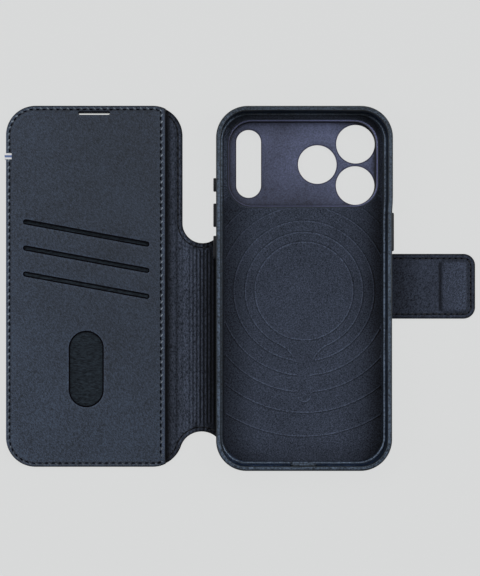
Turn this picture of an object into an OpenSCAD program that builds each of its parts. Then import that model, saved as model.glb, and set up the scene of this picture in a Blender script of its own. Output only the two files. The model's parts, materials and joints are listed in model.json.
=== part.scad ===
// Folding phone wallet with a lift-off phone shell, lying open on its back.
// +Z is up, out of the open wallet. +Y points to the camera end of the phone. +X points to the closing strap.
// X and Y in the modules are measured from the middle of the phone shell, and place() moves everything so
// that the origin is the middle of the bounding box at the base.

/* [Phone] */
// Width of the phone that the shell holds
phone_w = 78; // [76:0.5:80]
// Length of the phone
phone_l = 163.4; // [161:0.2:165]
// Thickness of the phone without its camera plateau
phone_t = 8.75; // [8:0.05:9.5]

/* [Shell] */
// Outer width of the phone shell
shell_w = 81.6; // [81.4:0.1:82]
// Outer length of the phone shell
shell_l = 169.2; // [168:0.1:170]
// Corner radius of the phone shell
shell_r = 14.7; // [14:0.1:16]
// Thickness of the leather on the shell's back and sides
shell_skin = 0.6; // [0.4:0.1:0.7]
// Height of the lip above the phone's screen
lip_h = 0.75; // [0.6:0.05:1]
// How far the lip reaches in over the long sides of the phone
lip_side = 0.5; // [0.3:0.1:0.7]

/* [Camera window] */
// Width of the camera plateau's recess
plateau_w = 69.4; // [69.2:0.1:71]
// Length of the camera plateau's recess
plateau_l = 39.7; // [39.6:0.1:40.5]
// Corner radius of the recess
plateau_r = 10.5; // [9.5:0.5:10.5]
// Depth of the recess below the lining
plateau_depth = 2.8; // [2.6:0.1:2.9]
// Diameter of each lens window
lens_d = 18.5; // [17:0.1:18.6]

/* [Flap] */
// Width of the front flap, from its free edge to the side of the spine notch
flap_w = 83.4; // [82.5:0.1:84]
// Length of the front flap
flap_l = 170.8; // [170:0.1:171.5]
// Corner radius of the flap
flap_r = 14; // [12:0.5:14]
// Width of the leather panel that holds the cards
wallet_w = 75.5; // [74:0.1:76]
// Length of each card slot, across the flap
slot_w = 59.6; // [57:0.2:61]
// Slope of the card slots
slot_slope = 10.4; // [8:0.2:12]

/* [Layers] */
// Thickness of the outer leather
leather_t = 0.8; // [0.7:0.05:0.9]
// Total thickness of the spine and the strap
spine_t = 1.8; // [1.7:0.05:1.9]
// Total thickness of the rear panel
rear_t = 2.4; // [2.3:0.05:2.5]
// Thickness of one card pocket sheet
sheet_t = 0.3; // [0.25:0.01:0.3]
// Thickness of the card panel's leather
wallet_t = 0.9; // [0.8:0.05:0.9]

/* [Strap] */
// Width of the closing strap
strap_w = 30.8; // [28:0.2:31]
// How far the strap reaches past the shell
strap_out = 41.1; // [40:0.1:43]
// Corner radius at the strap's tip
strap_r = 5.5; // [4:0.5:7]

/* [Hidden] */
$fn = 64;

// heights of the shell, from the table up
shell_z = rear_t;
back_leather_t = 0.7;
frame_floor_t = 0.9;
lining_t = 0.4;
frame_z = shell_z + back_leather_t;
lining_z = frame_z + frame_floor_t;
phone_z = lining_z + lining_t;
lip_z = phone_z + phone_t;
rim_z = lip_z + lip_h;
rim_band = 0.7;

// the shell in plan
phone_fit = [0.2, 0.5];
cavity_w = phone_w + 2 * phone_fit[0];
cavity_l = phone_l + 2 * phone_fit[1];
cavity_r = 14.2;
frame_w = shell_w - 2 * shell_skin;
frame_l = shell_l - 2 * shell_skin;
frame_r = shell_r - shell_skin;
lip_extra = 0.1;
lip_end = 0.2;
opening_w = cavity_w - 2 * (lip_side + lip_extra);
opening_l = cavity_l - 2 * lip_end;
lining_w = 75;
lining_l = 163.4;
lining_r = 12.4;

// the camera plate is a dish whose wall stands around the recess
plateau_y = 59;
plate_wall = 0.8;
plate_bottom = 0.4;
plate_lip = 0.1;
plate_top = phone_z - plateau_depth;
guard_w = 1.5;
lens_at = [[25.1, 68.45], [24.95, 48.85], [7, 58.8]];
flash_at = [-25.6, 59.1];
flash_w = 11.9;
flash_l = 32.4;

// magnets of the ring and the bar below it
ring_at = [0.4, -1.5];
magnet_in = 23.8;
magnet_out = 27.8;
magnet_count = 18;
magnet_gap = 1.2;
magnet_fit = 0.1;
bar_w = 5.6;
bar_l = 17;
bar_y = ring_at[1] - 42.5;
shell_magnet_t = 0.6;

// windows and buttons in the shell's walls
button_h = 3;
button_z = phone_z + phone_t / 2;
button_out = 1.35;
button_fit = 0.15;
flange_t = 0.4;
flange_edge = 0.8;
flange_fit = 0.2;
flange_x = frame_w / 2 - 0.3;
action_y = 48.4;
action_l = 6.4;
volume_up_y = 34.2;
volume_down_y = 19.1;
volume_l = 11;
side_y = 26.4;
side_l = 18;
control_y = -27.5;
control_l = 20;
control_h = 4.8;
port_w = 12.4;
port_h = 6.6;
speaker_x = 17.8;
speaker_w = 14;
speaker_h = 2.6;

// the spine stands off the shell by the buttons, and its folds turn near its inner face
fold_z = 1.5;
fold_gap = 0.7;
outer_gap = 1.6;
spine_clear = 0.25;
spine_fold_x = -shell_w / 2 - button_out - spine_clear - (spine_t - fold_z);
flap_t = spine_t + 3 * sheet_t + wallet_t;
flap_clear = 0.5;
spine_l = rim_z + flap_clear + flap_t - 2 * fold_z;
flap_fold_x = spine_fold_x - spine_l;

// the notches at the ends of the spine
notch_left = -57;
notch_r = 9.5;
notch_x = notch_left + notch_r;
notch_y = 31;
heel_x = -47.9;
heel_top = -67.95;
heel_r = 10.45;
heel_y = heel_top - heel_r;
spine_low = heel_y + 4;

// the flap in plan
flap_right = notch_left;
flap_left = flap_right - flap_w;
flap_y = 1;
flap_top = flap_y + flap_l / 2;
flap_bottom = flap_y - flap_l / 2;
board_right = -60;
board_edge = 1.6;
wallet_right = flap_left + wallet_w;
wallet_z = spine_t + 3 * sheet_t;
hem_w = 3;
mouth_hem_t = 0.45;
card_x = -102.4;
slot_t = 2.3;
slot_y = [26.2, 13.8, 1.5];
pocket_w = 66;
pocket_fit = 0.5;
thumb_w = 16.4;
thumb_l = 36;
thumb_y = -38.1;
ear_w = 15;
ear_h = 1.7;
ear_x = -98.7;
ear_y = 82.95;
tag_y = 62.4;
tag_w = 2.9;
tag_out = 0.5;
tag_in = 2.8;
tag_t = 0.2;

// the ribs of the spine's lining
rib_first_x = -53.6;
rib_pitch = 1.7;
rib_groove_r = 0.45;
rib_count = 8;

// the rear panel in plan
rear_x = 39;
rear_low = -82.4;
rear_high = 35.8;
rear_r = 13;
rear_skirt = 1;
root_in = 4;
rear_board_t = rear_t - leather_t - lining_t;

// the strap in plan, with its two folds
strap_y = 1;
strap_fit = 0.35;
strap_right = shell_w / 2 + strap_out;
strap_fold_x = shell_w / 2 + spine_clear + (spine_t - fold_z) + strap_fit;
strap_bump_z = 2.7;
strap_clear = 0.3;
strap_l = rim_z + flap_clear + flap_t + strap_clear + strap_bump_z - 2 * fold_z;
strap_tip_x = strap_fold_x + strap_l;
strap_magnet_w = 11;
strap_magnet_l = 22;
strap_magnet_t = 1.2;
bump_edge = 0.6;
strap_magnet_x = strap_right - 10;
closure_w = 14;
closure_l = 26;
closure_x = flap_fold_x - (strap_fold_x - (strap_magnet_x - strap_tip_x) - spine_fold_x);

// seams
thread_w = 0.5;
thread_t = 0.15;
seam_in = 2;
flap_seam_in = 1.1;
mouth_seam_in = 1.5;
seam_end = 4;
tag_clear = 0.1;

// the middle of the bounding box, which becomes the origin
origin_x = (flap_left - tag_out + strap_right) / 2;
origin_y = (min(flap_bottom, -shell_l / 2) + max(flap_top, shell_l / 2)) / 2;

module place() translate([-origin_x, -origin_y, 0]) children();

// A flat layer between two heights
module layer(z0, z1) translate([0, 0, z0]) linear_extrude(height = z1 - z0) children();

module span(x0, x1, y0, y1) translate([x0, y0]) square([x1 - x0, y1 - y0]);

module rounded(w, l, r) {
    square([w - 2 * r, l], center = true);
    square([w, l - 2 * r], center = true);
    for (x = [-1, 1], y = [-1, 1])
        translate([x * (w / 2 - r), y * (l / 2 - r)]) circle(r);
}

module stadium(w, l) {
    r = min(w, l) / 2;
    square([max(w - 2 * r, 0.001), l], center = true);
    square([w, max(l - 2 * r, 0.001)], center = true);
    for (side = [-1, 1])
        translate([side * (w / 2 - r), side * (l / 2 - r)]) circle(r);
}

// ---- outlines of the leather ----

module heel_notch(grow = 0) translate([heel_x, heel_y]) circle(heel_r + grow);

module button_notch(grow = 0) {
    translate([notch_x, notch_y]) circle(notch_r + grow);
    span(notch_x - notch_r - grow, notch_x + notch_r + grow, notch_y, flap_top + 1);
}

// The corner beside the heel runs into the heel's curve
module flap_sheet(inset = 0) {
    translate([(flap_left + flap_right) / 2, flap_y])
        rounded(flap_w - 2 * inset, flap_l - 2 * inset, flap_r - inset);
}

module flap_outline(right, inset = 0) {
    difference() {
        intersection() {
            flap_sheet(inset);
            span(flap_left - 1, right, flap_bottom - 1, flap_top + 1);
        }
        heel_notch(inset);
    }
}

// The flap's own side of the fold: it stops short of the spine, and is whole above the notch
module flap_side(gap) {
    difference() {
        flap_outline(flap_right);
        span(flap_fold_x - gap, flap_right + 1, flap_bottom - 1, notch_y + 1);
    }
}

module spine_band(x0, x1, grow = 0) {
    difference() {
        span(x0, x1, spine_low, notch_y);
        heel_notch(grow);
        button_notch(grow);
    }
}

module rear_main(inset = 0) {
    translate([0, (rear_low + rear_high) / 2])
        rounded(2 * (rear_x - inset), rear_high - rear_low - 2 * inset, rear_r - inset);
}

module strap_span(x0, x1, inset = 0)
    span(x0, x1, strap_y - strap_w / 2 + inset, strap_y + strap_w / 2 - inset);

module strap_end(inset = 0) {
    intersection() {
        translate([strap_right - strap_w / 2, strap_y])
            rounded(strap_w - 2 * inset, strap_w - 2 * inset, strap_r - inset);
        strap_span(strap_tip_x + fold_gap, strap_right + 1);
    }
}

// ---- magnets ----

module magnet_arc(t) {
    arc = 360 / magnet_count - magnet_gap;
    rotate_extrude(angle = arc) translate([magnet_in, 0]) square([magnet_out - magnet_in, t]);
}

module magnet_ring(z, t) {
    translate([ring_at[0], ring_at[1], z])
        for (i = [0 : magnet_count - 1])
            rotate([0, 0, i * 360 / magnet_count]) magnet_arc(t);
}

module ring_seat() translate(ring_at) difference() {
    circle(magnet_out + magnet_fit);
    circle(magnet_in - magnet_fit);
}

module bar_seat(fit = 0)
    translate([ring_at[0], bar_y]) square([bar_w + 2 * fit, bar_l + 2 * fit], center = true);

// ---- rear panel: the root ----

module rear_leather() color("#2b3444") layer(0, leather_t) {
    rear_main();
    spine_band(spine_fold_x + outer_gap / 2, -rear_x + root_in);
    strap_span(rear_x - root_in, strap_fold_x - outer_gap / 2);
}

module rear_board() color("#8a7f6d") layer(leather_t, leather_t + rear_board_t) difference() {
    rear_main(rear_skirt);
    ring_seat();
    bar_seat(magnet_fit);
}

module rib_grooves(x0, x1) {
    for (i = [0 : rib_count - 1]) {
        x = rib_first_x + i * rib_pitch;
        if (x > x0 && x < x1)
            translate([x, 0, spine_t]) rotate([90, 0, 0])
                cylinder(r = rib_groove_r, h = 2 * flap_l, center = true);
    }
}

module rear_seam() difference() {
    rear_main(seam_in);
    rear_main(seam_in + thread_w);
}

module rear_lining() color("#30323e") {
    difference() {
        layer(leather_t, rear_t) rear_main();
        layer(leather_t - 1, leather_t + rear_board_t) rear_main(rear_skirt);
        layer(rear_t - thread_t, rear_t + 1) rear_seam();
    }
    difference() {
        layer(leather_t, spine_t) {
            difference() {
                spine_band(spine_fold_x + fold_gap, -rear_x + root_in);
                rear_main(rear_skirt);
            }
            difference() {
                strap_span(rear_x - root_in, strap_fold_x - fold_gap);
                rear_main(rear_skirt);
            }
        }
        rib_grooves(spine_fold_x + fold_gap, -rear_x);
    }
}

module rear_magnet_ring() color("silver") magnet_ring(leather_t, rear_board_t);

module rear_alignment_magnet() color("silver") layer(leather_t, leather_t + rear_board_t) bar_seat();

// The seam lies sunk in the lining, so that the shell slides over it
module rear_thread() color("#20242c") layer(rear_t - thread_t, rear_t) rear_seam();

// ---- spine ----

module spine_leather() color("#2b3444") layer(0, leather_t)
    spine_band(flap_fold_x + outer_gap / 2, spine_fold_x - outer_gap / 2);

module spine_ribbed_lining() color("#30323e") difference() {
    layer(leather_t, spine_t) spine_band(flap_fold_x + fold_gap, spine_fold_x - fold_gap);
    rib_grooves(flap_fold_x + fold_gap, spine_fold_x - fold_gap);
}

module spine_thread() color("#20242c") layer(spine_t, spine_t + thread_t) {
    difference() {
        spine_band(flap_fold_x + fold_gap, spine_fold_x - fold_gap, seam_in);
        spine_band(flap_fold_x, spine_fold_x, seam_in + thread_w);
    }
}

// ---- flap ----

module ear_slot() translate([ear_x, ear_y]) stadium(ear_w, ear_h);

module flap_leather() color("#2b3444") layer(0, leather_t) difference() {
    flap_side(outer_gap / 2);
    ear_slot();
}

module closure_seat(fit = 0)
    translate([closure_x, strap_y]) square([closure_w + 2 * fit, closure_l + 2 * fit], center = true);

module flap_board() color("#8a7f6d") layer(leather_t, spine_t - sheet_t) difference() {
    flap_outline(board_right, board_edge);
    ear_slot();
    closure_seat(magnet_fit);
}

module flap_lining() color("#30323e") difference() {
    layer(leather_t, spine_t) difference() {
        flap_side(fold_gap);
        ear_slot();
    }
    layer(leather_t - 1, spine_t - sheet_t) flap_outline(board_right, board_edge);
}

module flap_closure_plate() color("gray") layer(leather_t, spine_t - sheet_t) closure_seat();

// A pocket sheet hangs behind the panel from just above its slot
module card_pocket(i) {
    z = spine_t + i * sheet_t;
    top = slot_y[i] + slot_t;
    layer(z, z + sheet_t) intersection() {
        flap_outline(card_x + pocket_w / 2, hem_w + pocket_fit);
        translate([card_x, top]) rotate(-slot_slope) span(-pocket_w, pocket_w, -3 * pocket_w, 0);
    }
}

module card_pocket_upper() color("#17191e") card_pocket(0);

module card_pocket_middle() color("#17191e") card_pocket(1);

module card_pocket_lower() color("#17191e") card_pocket(2);

module card_slots() {
    for (y = slot_y)
        translate([card_x, y]) rotate(-slot_slope) stadium(slot_w / cos(slot_slope), slot_t);
}

module wallet_panel() color("#363f4d") difference() {
    union() {
        layer(wallet_z, wallet_z + wallet_t) flap_outline(wallet_right);
        layer(spine_t, wallet_z) difference() {
            flap_outline(wallet_right);
            flap_outline(wallet_right + 1, hem_w);
        }
        layer(wallet_z - mouth_hem_t, wallet_z) intersection() {
            flap_outline(wallet_right);
            span(wallet_right - hem_w, wallet_right, flap_bottom, flap_top);
        }
    }
    layer(0, wallet_z + 2 * wallet_t) {
        card_slots();
        translate([card_x, thumb_y]) stadium(thumb_w, thumb_l);
        ear_slot();
    }
}

// The seam runs round the three closed sides of the card panel, and breaks for the tag
module flap_thread() color("#525b68") layer(flap_t, flap_t + thread_t) difference() {
    flap_outline(wallet_right - mouth_seam_in - thread_w, flap_seam_in);
    flap_outline(wallet_right + 1, flap_seam_in + thread_w);
    tag_strip(tag_clear);
}

module pocket_mouth_thread() color("#525b68") layer(flap_t, flap_t + thread_t) {
    x = wallet_right - mouth_seam_in;
    span(x - thread_w, x, flap_bottom + seam_end, flap_top - seam_end);
}

module tag_strip(grow = 0, right = flap_left + tag_in)
    span(flap_left - tag_out, right, tag_y - tag_w / 2 - grow, tag_y + tag_w / 2 + grow);

// A ribbon folded over the flap's free edge
module woven_tag() color("white") {
    layer(flap_t, flap_t + tag_t) tag_strip();
    layer(tag_t, flap_t) tag_strip(right = flap_left - tag_out + tag_t);
}

// ---- strap ----

module strap_side_leather() color("#2b3444") layer(0, leather_t)
    strap_span(strap_fold_x + outer_gap / 2, strap_tip_x - outer_gap / 2);

module strap_side_lining() color("#30323e") layer(leather_t, spine_t)
    strap_span(strap_fold_x + fold_gap, strap_tip_x - fold_gap);

module strap_side_thread() color("#20242c") layer(spine_t, spine_t + thread_t) difference() {
    strap_span(strap_fold_x + fold_gap, strap_tip_x - fold_gap, seam_in);
    strap_span(strap_fold_x, strap_tip_x, seam_in + thread_w);
}

module strap_tip_leather() color("#2b3444") layer(0, leather_t) intersection() {
    strap_end();
    strap_span(strap_tip_x + outer_gap / 2, strap_right + 1);
}

module strap_magnet_seat(grow = 0)
    translate([strap_magnet_x, strap_y])
        square([strap_magnet_w + 2 * grow, strap_magnet_l + 2 * grow], center = true);

module strap_tip_lining() color("#30323e") difference() {
    union() {
        layer(leather_t, spine_t) strap_end();
        layer(leather_t, strap_bump_z) strap_magnet_seat(bump_edge);
    }
    layer(leather_t - 1, leather_t + strap_magnet_t) strap_magnet_seat(magnet_fit);
}

module strap_tip_thread() color("#20242c") layer(spine_t, spine_t + thread_t) difference() {
    strap_end(seam_in);
    strap_end(seam_in + thread_w);
    strap_span(strap_tip_x, strap_tip_x + fold_gap + thread_w, seam_in + thread_w);
}

module strap_magnet() color("silver") layer(leather_t, leather_t + strap_magnet_t) strap_magnet_seat();

// ---- phone shell ----

// A bar that runs along X through a side wall, with rounded ends
module wall_bar(x0, x1, y, l, h)
    translate([x0, y, button_z]) rotate([90, 0, 90]) linear_extrude(height = x1 - x0) stadium(l, h);

module button_window(side, y, l) {
    inner = cavity_w / 2;
    x = [side * (inner - 1), side * (shell_w / 2 + 1)];
    wall_bar(min(x), max(x), y, l + 2 * button_fit, button_h + 2 * button_fit);
    pocket = [side * (inner - 1), side * flange_x];
    pocket_edge = flange_edge + flange_fit;
    wall_bar(min(pocket), max(pocket), y, l + 2 * pocket_edge, button_h + 2 * pocket_edge);
}

module wall_windows() {
    button_window(-1, action_y, action_l);
    button_window(-1, volume_up_y, volume_l);
    button_window(-1, volume_down_y, volume_l);
    button_window(1, side_y, side_l);
    wall_bar(cavity_w / 2 - 1, shell_w / 2 + 1, control_y, control_l, control_h);
    for (slot = [[0, port_w, port_h], [-speaker_x, speaker_w, speaker_h], [speaker_x, speaker_w, speaker_h]])
        translate([slot[0], -cavity_l / 2 + 1, button_z]) rotate([90, 0, 0]) linear_extrude(height = 6)
            stadium(slot[1], slot[2]);
}

module plate_outline(grow = 0) translate([0, plateau_y])
    rounded(plateau_w + 2 * grow, plateau_l + 2 * grow, plateau_r + grow);

module shell_frame() color("#3c4450") difference() {
    union() {
        layer(frame_z, rim_z - rim_band) rounded(frame_w, frame_l, frame_r);
        layer(rim_z - rim_band, rim_z) rounded(shell_w, shell_l, shell_r);
    }
    layer(lining_z, lip_z) rounded(cavity_w, cavity_l, cavity_r);
    layer(lip_z - 1, rim_z + 1) rounded(opening_w, opening_l, cavity_r - lip_side);
    layer(frame_z - 1, lining_z + 1) plate_outline(plate_wall);
    layer(frame_z - 1, frame_z + shell_magnet_t) {
        ring_seat();
        bar_seat(magnet_fit);
    }
    wall_windows();
}

module shell_leather() color("#2b3444") difference() {
    layer(shell_z, rim_z - rim_band) rounded(shell_w, shell_l, shell_r);
    layer(frame_z, rim_z) rounded(frame_w, frame_l, frame_r);
    layer(shell_z - 1, frame_z + 1) plate_outline(plate_wall);
    wall_windows();
}

module shell_lining() color("#2d303b") layer(lining_z, phone_z) difference() {
    rounded(lining_w, lining_l, lining_r);
    plate_outline(plate_wall);
}

module shell_magnet_ring() color("silver") magnet_ring(frame_z, shell_magnet_t);

module shell_alignment_magnet() color("silver") layer(frame_z, frame_z + shell_magnet_t) bar_seat();

module camera_plate() color("#3f3f63") difference() {
    layer(plate_bottom, phone_z + plate_lip) plate_outline(plate_wall);
    layer(plate_top, phone_z + 1) plate_outline();
    layer(-1, phone_z) {
        for (p = lens_at)
            translate(p) circle(lens_d / 2);
        translate(flash_at) stadium(flash_w, flash_l);
    }
}

module camera_guard() color("#39414e") layer(0, shell_z) difference() {
    plate_outline(plate_wall + guard_w);
    plate_outline(plate_wall);
}

// The cap stands out of the wall, and the flange inside it keeps the button in and stops it
module button(side, y, l) {
    cap = [side * (flange_x - flange_t), side * (shell_w / 2 + button_out)];
    flange = [side * (flange_x - flange_t), side * flange_x];
    wall_bar(min(cap), max(cap), y, l, button_h);
    wall_bar(min(flange), max(flange), y, l + 2 * flange_edge, button_h + 2 * flange_edge);
}

module action_button() color("#16181d") button(-1, action_y, action_l);

module volume_up_button() color("#16181d") button(-1, volume_up_y, volume_l);

module volume_down_button() color("#16181d") button(-1, volume_down_y, volume_l);

module side_button() color("#16181d") button(1, side_y, side_l);

place() rear_leather();
place() rear_board();
place() rear_lining();
place() rear_magnet_ring();
place() rear_alignment_magnet();
place() rear_thread();
place() spine_leather();
place() spine_ribbed_lining();
place() spine_thread();
place() flap_leather();
place() flap_board();
place() flap_lining();
place() flap_closure_plate();
place() card_pocket_upper();
place() card_pocket_middle();
place() card_pocket_lower();
place() wallet_panel();
place() flap_thread();
place() pocket_mouth_thread();
place() woven_tag();
place() strap_side_leather();
place() strap_side_lining();
place() strap_side_thread();
place() strap_tip_leather();
place() strap_tip_lining();
place() strap_tip_thread();
place() strap_magnet();
place() shell_frame();
place() shell_leather();
place() shell_lining();
place() shell_magnet_ring();
place() shell_alignment_magnet();
place() camera_plate();
place() camera_guard();
place() action_button();
place() volume_up_button();
place() volume_down_button();
place() side_button();
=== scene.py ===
"""The looks of an open leather phone wallet: a card flap, a ribbed spine, a phone shell and a closing strap.

Plan positions are millimetres from the middle of the phone shell, and placed() moves them into the CAD frame.
"""
import json
import math
import random

import bmesh
import bpy
import numpy as np
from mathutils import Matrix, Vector
from mathutils.geometry import delaunay_2d_cdt
from mathutils.kdtree import KDTree


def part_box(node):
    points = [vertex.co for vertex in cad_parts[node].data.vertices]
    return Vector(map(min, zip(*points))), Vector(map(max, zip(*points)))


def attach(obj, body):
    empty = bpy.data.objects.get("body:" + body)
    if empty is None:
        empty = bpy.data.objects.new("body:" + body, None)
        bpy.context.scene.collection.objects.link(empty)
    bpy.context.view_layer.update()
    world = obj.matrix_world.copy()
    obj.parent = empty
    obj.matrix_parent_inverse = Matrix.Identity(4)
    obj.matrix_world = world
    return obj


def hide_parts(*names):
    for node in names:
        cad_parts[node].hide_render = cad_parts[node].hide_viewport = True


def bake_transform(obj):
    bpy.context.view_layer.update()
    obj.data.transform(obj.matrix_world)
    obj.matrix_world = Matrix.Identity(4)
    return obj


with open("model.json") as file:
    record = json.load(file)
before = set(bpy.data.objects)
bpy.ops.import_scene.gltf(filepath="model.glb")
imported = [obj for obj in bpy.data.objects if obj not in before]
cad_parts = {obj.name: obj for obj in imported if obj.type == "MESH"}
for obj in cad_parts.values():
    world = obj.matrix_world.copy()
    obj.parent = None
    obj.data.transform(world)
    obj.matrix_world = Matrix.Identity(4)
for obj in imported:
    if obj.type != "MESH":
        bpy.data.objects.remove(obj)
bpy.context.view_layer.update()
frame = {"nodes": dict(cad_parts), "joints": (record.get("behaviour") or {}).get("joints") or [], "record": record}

MM = 0.001
rng = random.Random(11)
scene = bpy.context.scene


# ---------------------------------------------------------------- the frame, in millimetres

shell_low, shell_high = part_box("shell_leather")
CENTRE = (shell_low + shell_high) / 2 / MM


def mm_box(node):
    """A CAD node's lowest and highest corner, from the middle of the shell in X and Y."""
    shift = Vector((CENTRE.x, CENTRE.y, 0))
    return [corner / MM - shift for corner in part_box(node)]


def hinge_x(name):
    """Where a fold's axis lies."""
    joint = next(j for j in frame["joints"] if j["name"] == name)
    return joint["pos_m"][0] / MM - CENTRE.x


def opening(name):
    """Middle of one of the record's openings."""
    box = next(o["box_m"] for o in frame["record"]["physics"]["openings"] if o["name"] == name)
    x, y, z = [(low + high) / 2 / MM for low, high in zip(*box)]
    return x - CENTRE.x, y - CENTRE.y, z


FLAP_LOW, FLAP_HIGH = mm_box("flap_leather")
PANEL_LOW, PANEL_HIGH = mm_box("wallet_panel")
_, SPINE_HIGH = mm_box("spine_ribbed_lining")
REAR_LOW, REAR_HIGH = mm_box("rear_board")
STRAP_LOW, STRAP_HIGH = mm_box("strap_tip_leather")
SHELL_LOW, SHELL_HIGH = mm_box("shell_leather")
FRAME_LOW, FRAME_HIGH = mm_box("shell_frame")
LINING_LOW, LINING_HIGH = mm_box("shell_lining")
DISH_LOW, DISH_HIGH = mm_box("camera_plate")
GUARD_LOW, GUARD_HIGH = mm_box("camera_guard")

LEATHER_T = FLAP_HIGH.z
SPINE_T = SPINE_HIGH.z
REAR_T = SHELL_LOW.z
HEM_T = mm_box("card_pocket_lower")[1].z
RIM_Z = FRAME_HIGH.z
FLAP_FOLD = hinge_x("flap_fold")
SPINE_FOLD = hinge_x("spine_fold")
STRAP_FOLD = hinge_x("strap_side_fold")
TIP_FOLD = hinge_x("strap_tip_fold")

# the grooves between the spine's ribs, each a place, a depth and the strength of the painted shade in it
RIB_PITCH = 1.7
RIB_FIRST = -53.6
RIBS = [(RIB_FIRST + i * RIB_PITCH, 0.16 + 0.045 * i, min(0.98, 0.56 + 0.13 * i)) for i in range(8)]
RIBS += [(RIB_FIRST - RIB_PITCH, 0.04, 0.12), (RIB_FIRST - 2 * RIB_PITCH, 0.08, 0.28)]

# the groove in which the spine's sheets are divided, the flap's fold, and the lining's far edge
SPINE_CUT = RIB_FIRST + 2 * RIB_PITCH
FOLD_GROOVE = -59.66
SPINE_END = -39.5

# corner radii and notches of the leather
FLAP_R = 14
NOTCH_R = 9.5
NOTCH = (FLAP_HIGH.x + NOTCH_R, SPINE_HIGH.y)
HEEL_R = 10.45
HEEL = (-47.9, -78.4)
REAR_R = 13
REAR_EDGE = 1
SHELL_R = (14.1, 14.7, 14.7, 14.7)
WALL_SWELL = 0.4
STRAP_R = 5.5

# the painted edge left round the linings, and the stitching
EDGE_RIM = 0.05
SEAM = 2.1
PANEL_SEAM = 1.1
MOUTH_SEAM = 0.4
STITCH = 3.15


# ---------------------------------------------------------------- curves in plan

def arc(cx, cy, r, start, end, step=0.8):
    """Points on an arc between two angles in degrees, both ends included."""
    n = max(3, int(abs(math.radians(end - start)) * r / step))
    a = np.radians(np.linspace(start, end, n + 1))
    return np.column_stack((cx + r * np.cos(a), cy + r * np.sin(a)))


def line(p, q, step=4.0):
    """Points from one point to another."""
    n = max(1, int(math.dist(p, q) / step))
    return np.linspace(p, q, n + 1)


def joined(*parts):
    """One closed loop of the parts in turn, without repeated points."""
    points = [p for part in parts for p in np.atleast_2d(part)]
    kept = [points[0]]
    for p in points[1:]:
        if math.dist(p, kept[-1]) > 0.02:
            kept.append(p)
    if math.dist(kept[0], kept[-1]) < 0.02:
        kept.pop()
    return np.array(kept)


def rounded(x0, x1, y0, y1, r, step=0.8, side=4.0):
    """A rounded rectangle, anticlockwise. r is one radius, or those of its corners from the lower left."""
    radii = [r] * 4 if np.isscalar(r) else r
    corners = [(x0, y0, 1, 1, 180), (x1, y0, -1, 1, 270), (x1, y1, -1, -1, 0), (x0, y1, 1, -1, 90)]
    arcs = [arc(x + sx * r, y + sy * r, r, a, a + 90, step) for r, (x, y, sx, sy, a) in zip(radii, corners)]
    parts = []
    for i in range(4):
        parts += [arcs[i], line(arcs[i][-1], arcs[(i + 1) % 4][0], side)]
    return joined(*parts)


def stadium(cx, cy, w, h, angle=0, step=0.5):
    """A round-ended slot about a point, turned by an angle in degrees."""
    r = min(w, h) / 2 - 0.001
    loop = rounded(-w / 2, w / 2, -h / 2, h / 2, r, step)
    c, s = math.cos(math.radians(angle)), math.sin(math.radians(angle))
    return loop @ np.array([[c, s], [-s, c]]) + (cx, cy)


def normals(loop, cuts=()):
    """Each point's inward direction. Points on a cut line only move along it."""
    before, after = np.roll(loop, 1, 0), np.roll(loop, -1, 0)
    a = (loop - before) / np.linalg.norm(loop - before, axis=1, keepdims=True)
    b = (after - loop) / np.linalg.norm(after - loop, axis=1, keepdims=True)
    n = np.column_stack((-(a + b)[:, 1], (a + b)[:, 0]))
    n /= np.linalg.norm(n, axis=1, keepdims=True)
    cos_half = np.clip((n * np.column_stack((-a[:, 1], a[:, 0]))).sum(1), 0.5, 1)
    n /= cos_half[:, None]
    for cut in cuts:
        on = abs(loop[:, 0] - cut) < 1e-3
        for i in np.flatnonzero(on):
            edge = a[i] if not on[i - 1] else b[i]
            n[i] = (0, 1 / (edge[0] if abs(edge[0]) > 0.3 else math.copysign(0.3, edge[0])))
    return n


def inset(loop, distance, cuts=()):
    """The loop moved inward, by one distance or by one for each point."""
    return loop + normals(loop, cuts) * distance


def inside(points, loop):
    """Which points lie inside a loop."""
    x, y = points[:, :1], points[:, 1:]
    ax, ay = loop[:, 0], loop[:, 1]
    bx, by = np.roll(ax, -1), np.roll(ay, -1)
    crosses = (ay > y) != (by > y)
    with np.errstate(divide="ignore", invalid="ignore"):
        at = (bx - ax) * (y - ay) / (by - ay) + ax
    return (crosses & (x < at)).sum(1) % 2 == 1


def distance(points, loop):
    """Shortest distance from each point to a loop."""
    a, b = loop, np.roll(loop, -1, 0)
    d = b - a
    out = []
    for part in np.array_split(points, max(1, len(points) * len(loop) // 2_000_000 + 1)):
        t = ((part[:, None] - a) * d).sum(2) / (d * d).sum(1)
        nearest = a + np.clip(t, 0, 1)[..., None] * d
        out.append(np.linalg.norm(part[:, None] - nearest, axis=2).min(1))
    return np.concatenate(out)


def grid(xs, ys):
    """Every pair of the values."""
    return np.array([(x, y) for x in xs for y in ys])


def keep_inside(points, outer, holes=(), margin=0.35):
    """The points that lie in a region, clear of its boundaries."""
    keep = inside(points, outer) & (distance(points, outer) > margin)
    for hole in holes:
        keep &= ~inside(points, hole) & (distance(points, hole) > margin)
    return points[keep]


def smoothstep(low, high, value):
    """0 at low and 1 at high, with a smooth rise between them."""
    t = np.clip((value - low) / (high - low), 0, 1)
    return t * t * (3 - 2 * t)


# ---------------------------------------------------------------- meshes

def level(points):
    """No relief."""
    return np.zeros(len(points))


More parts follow.
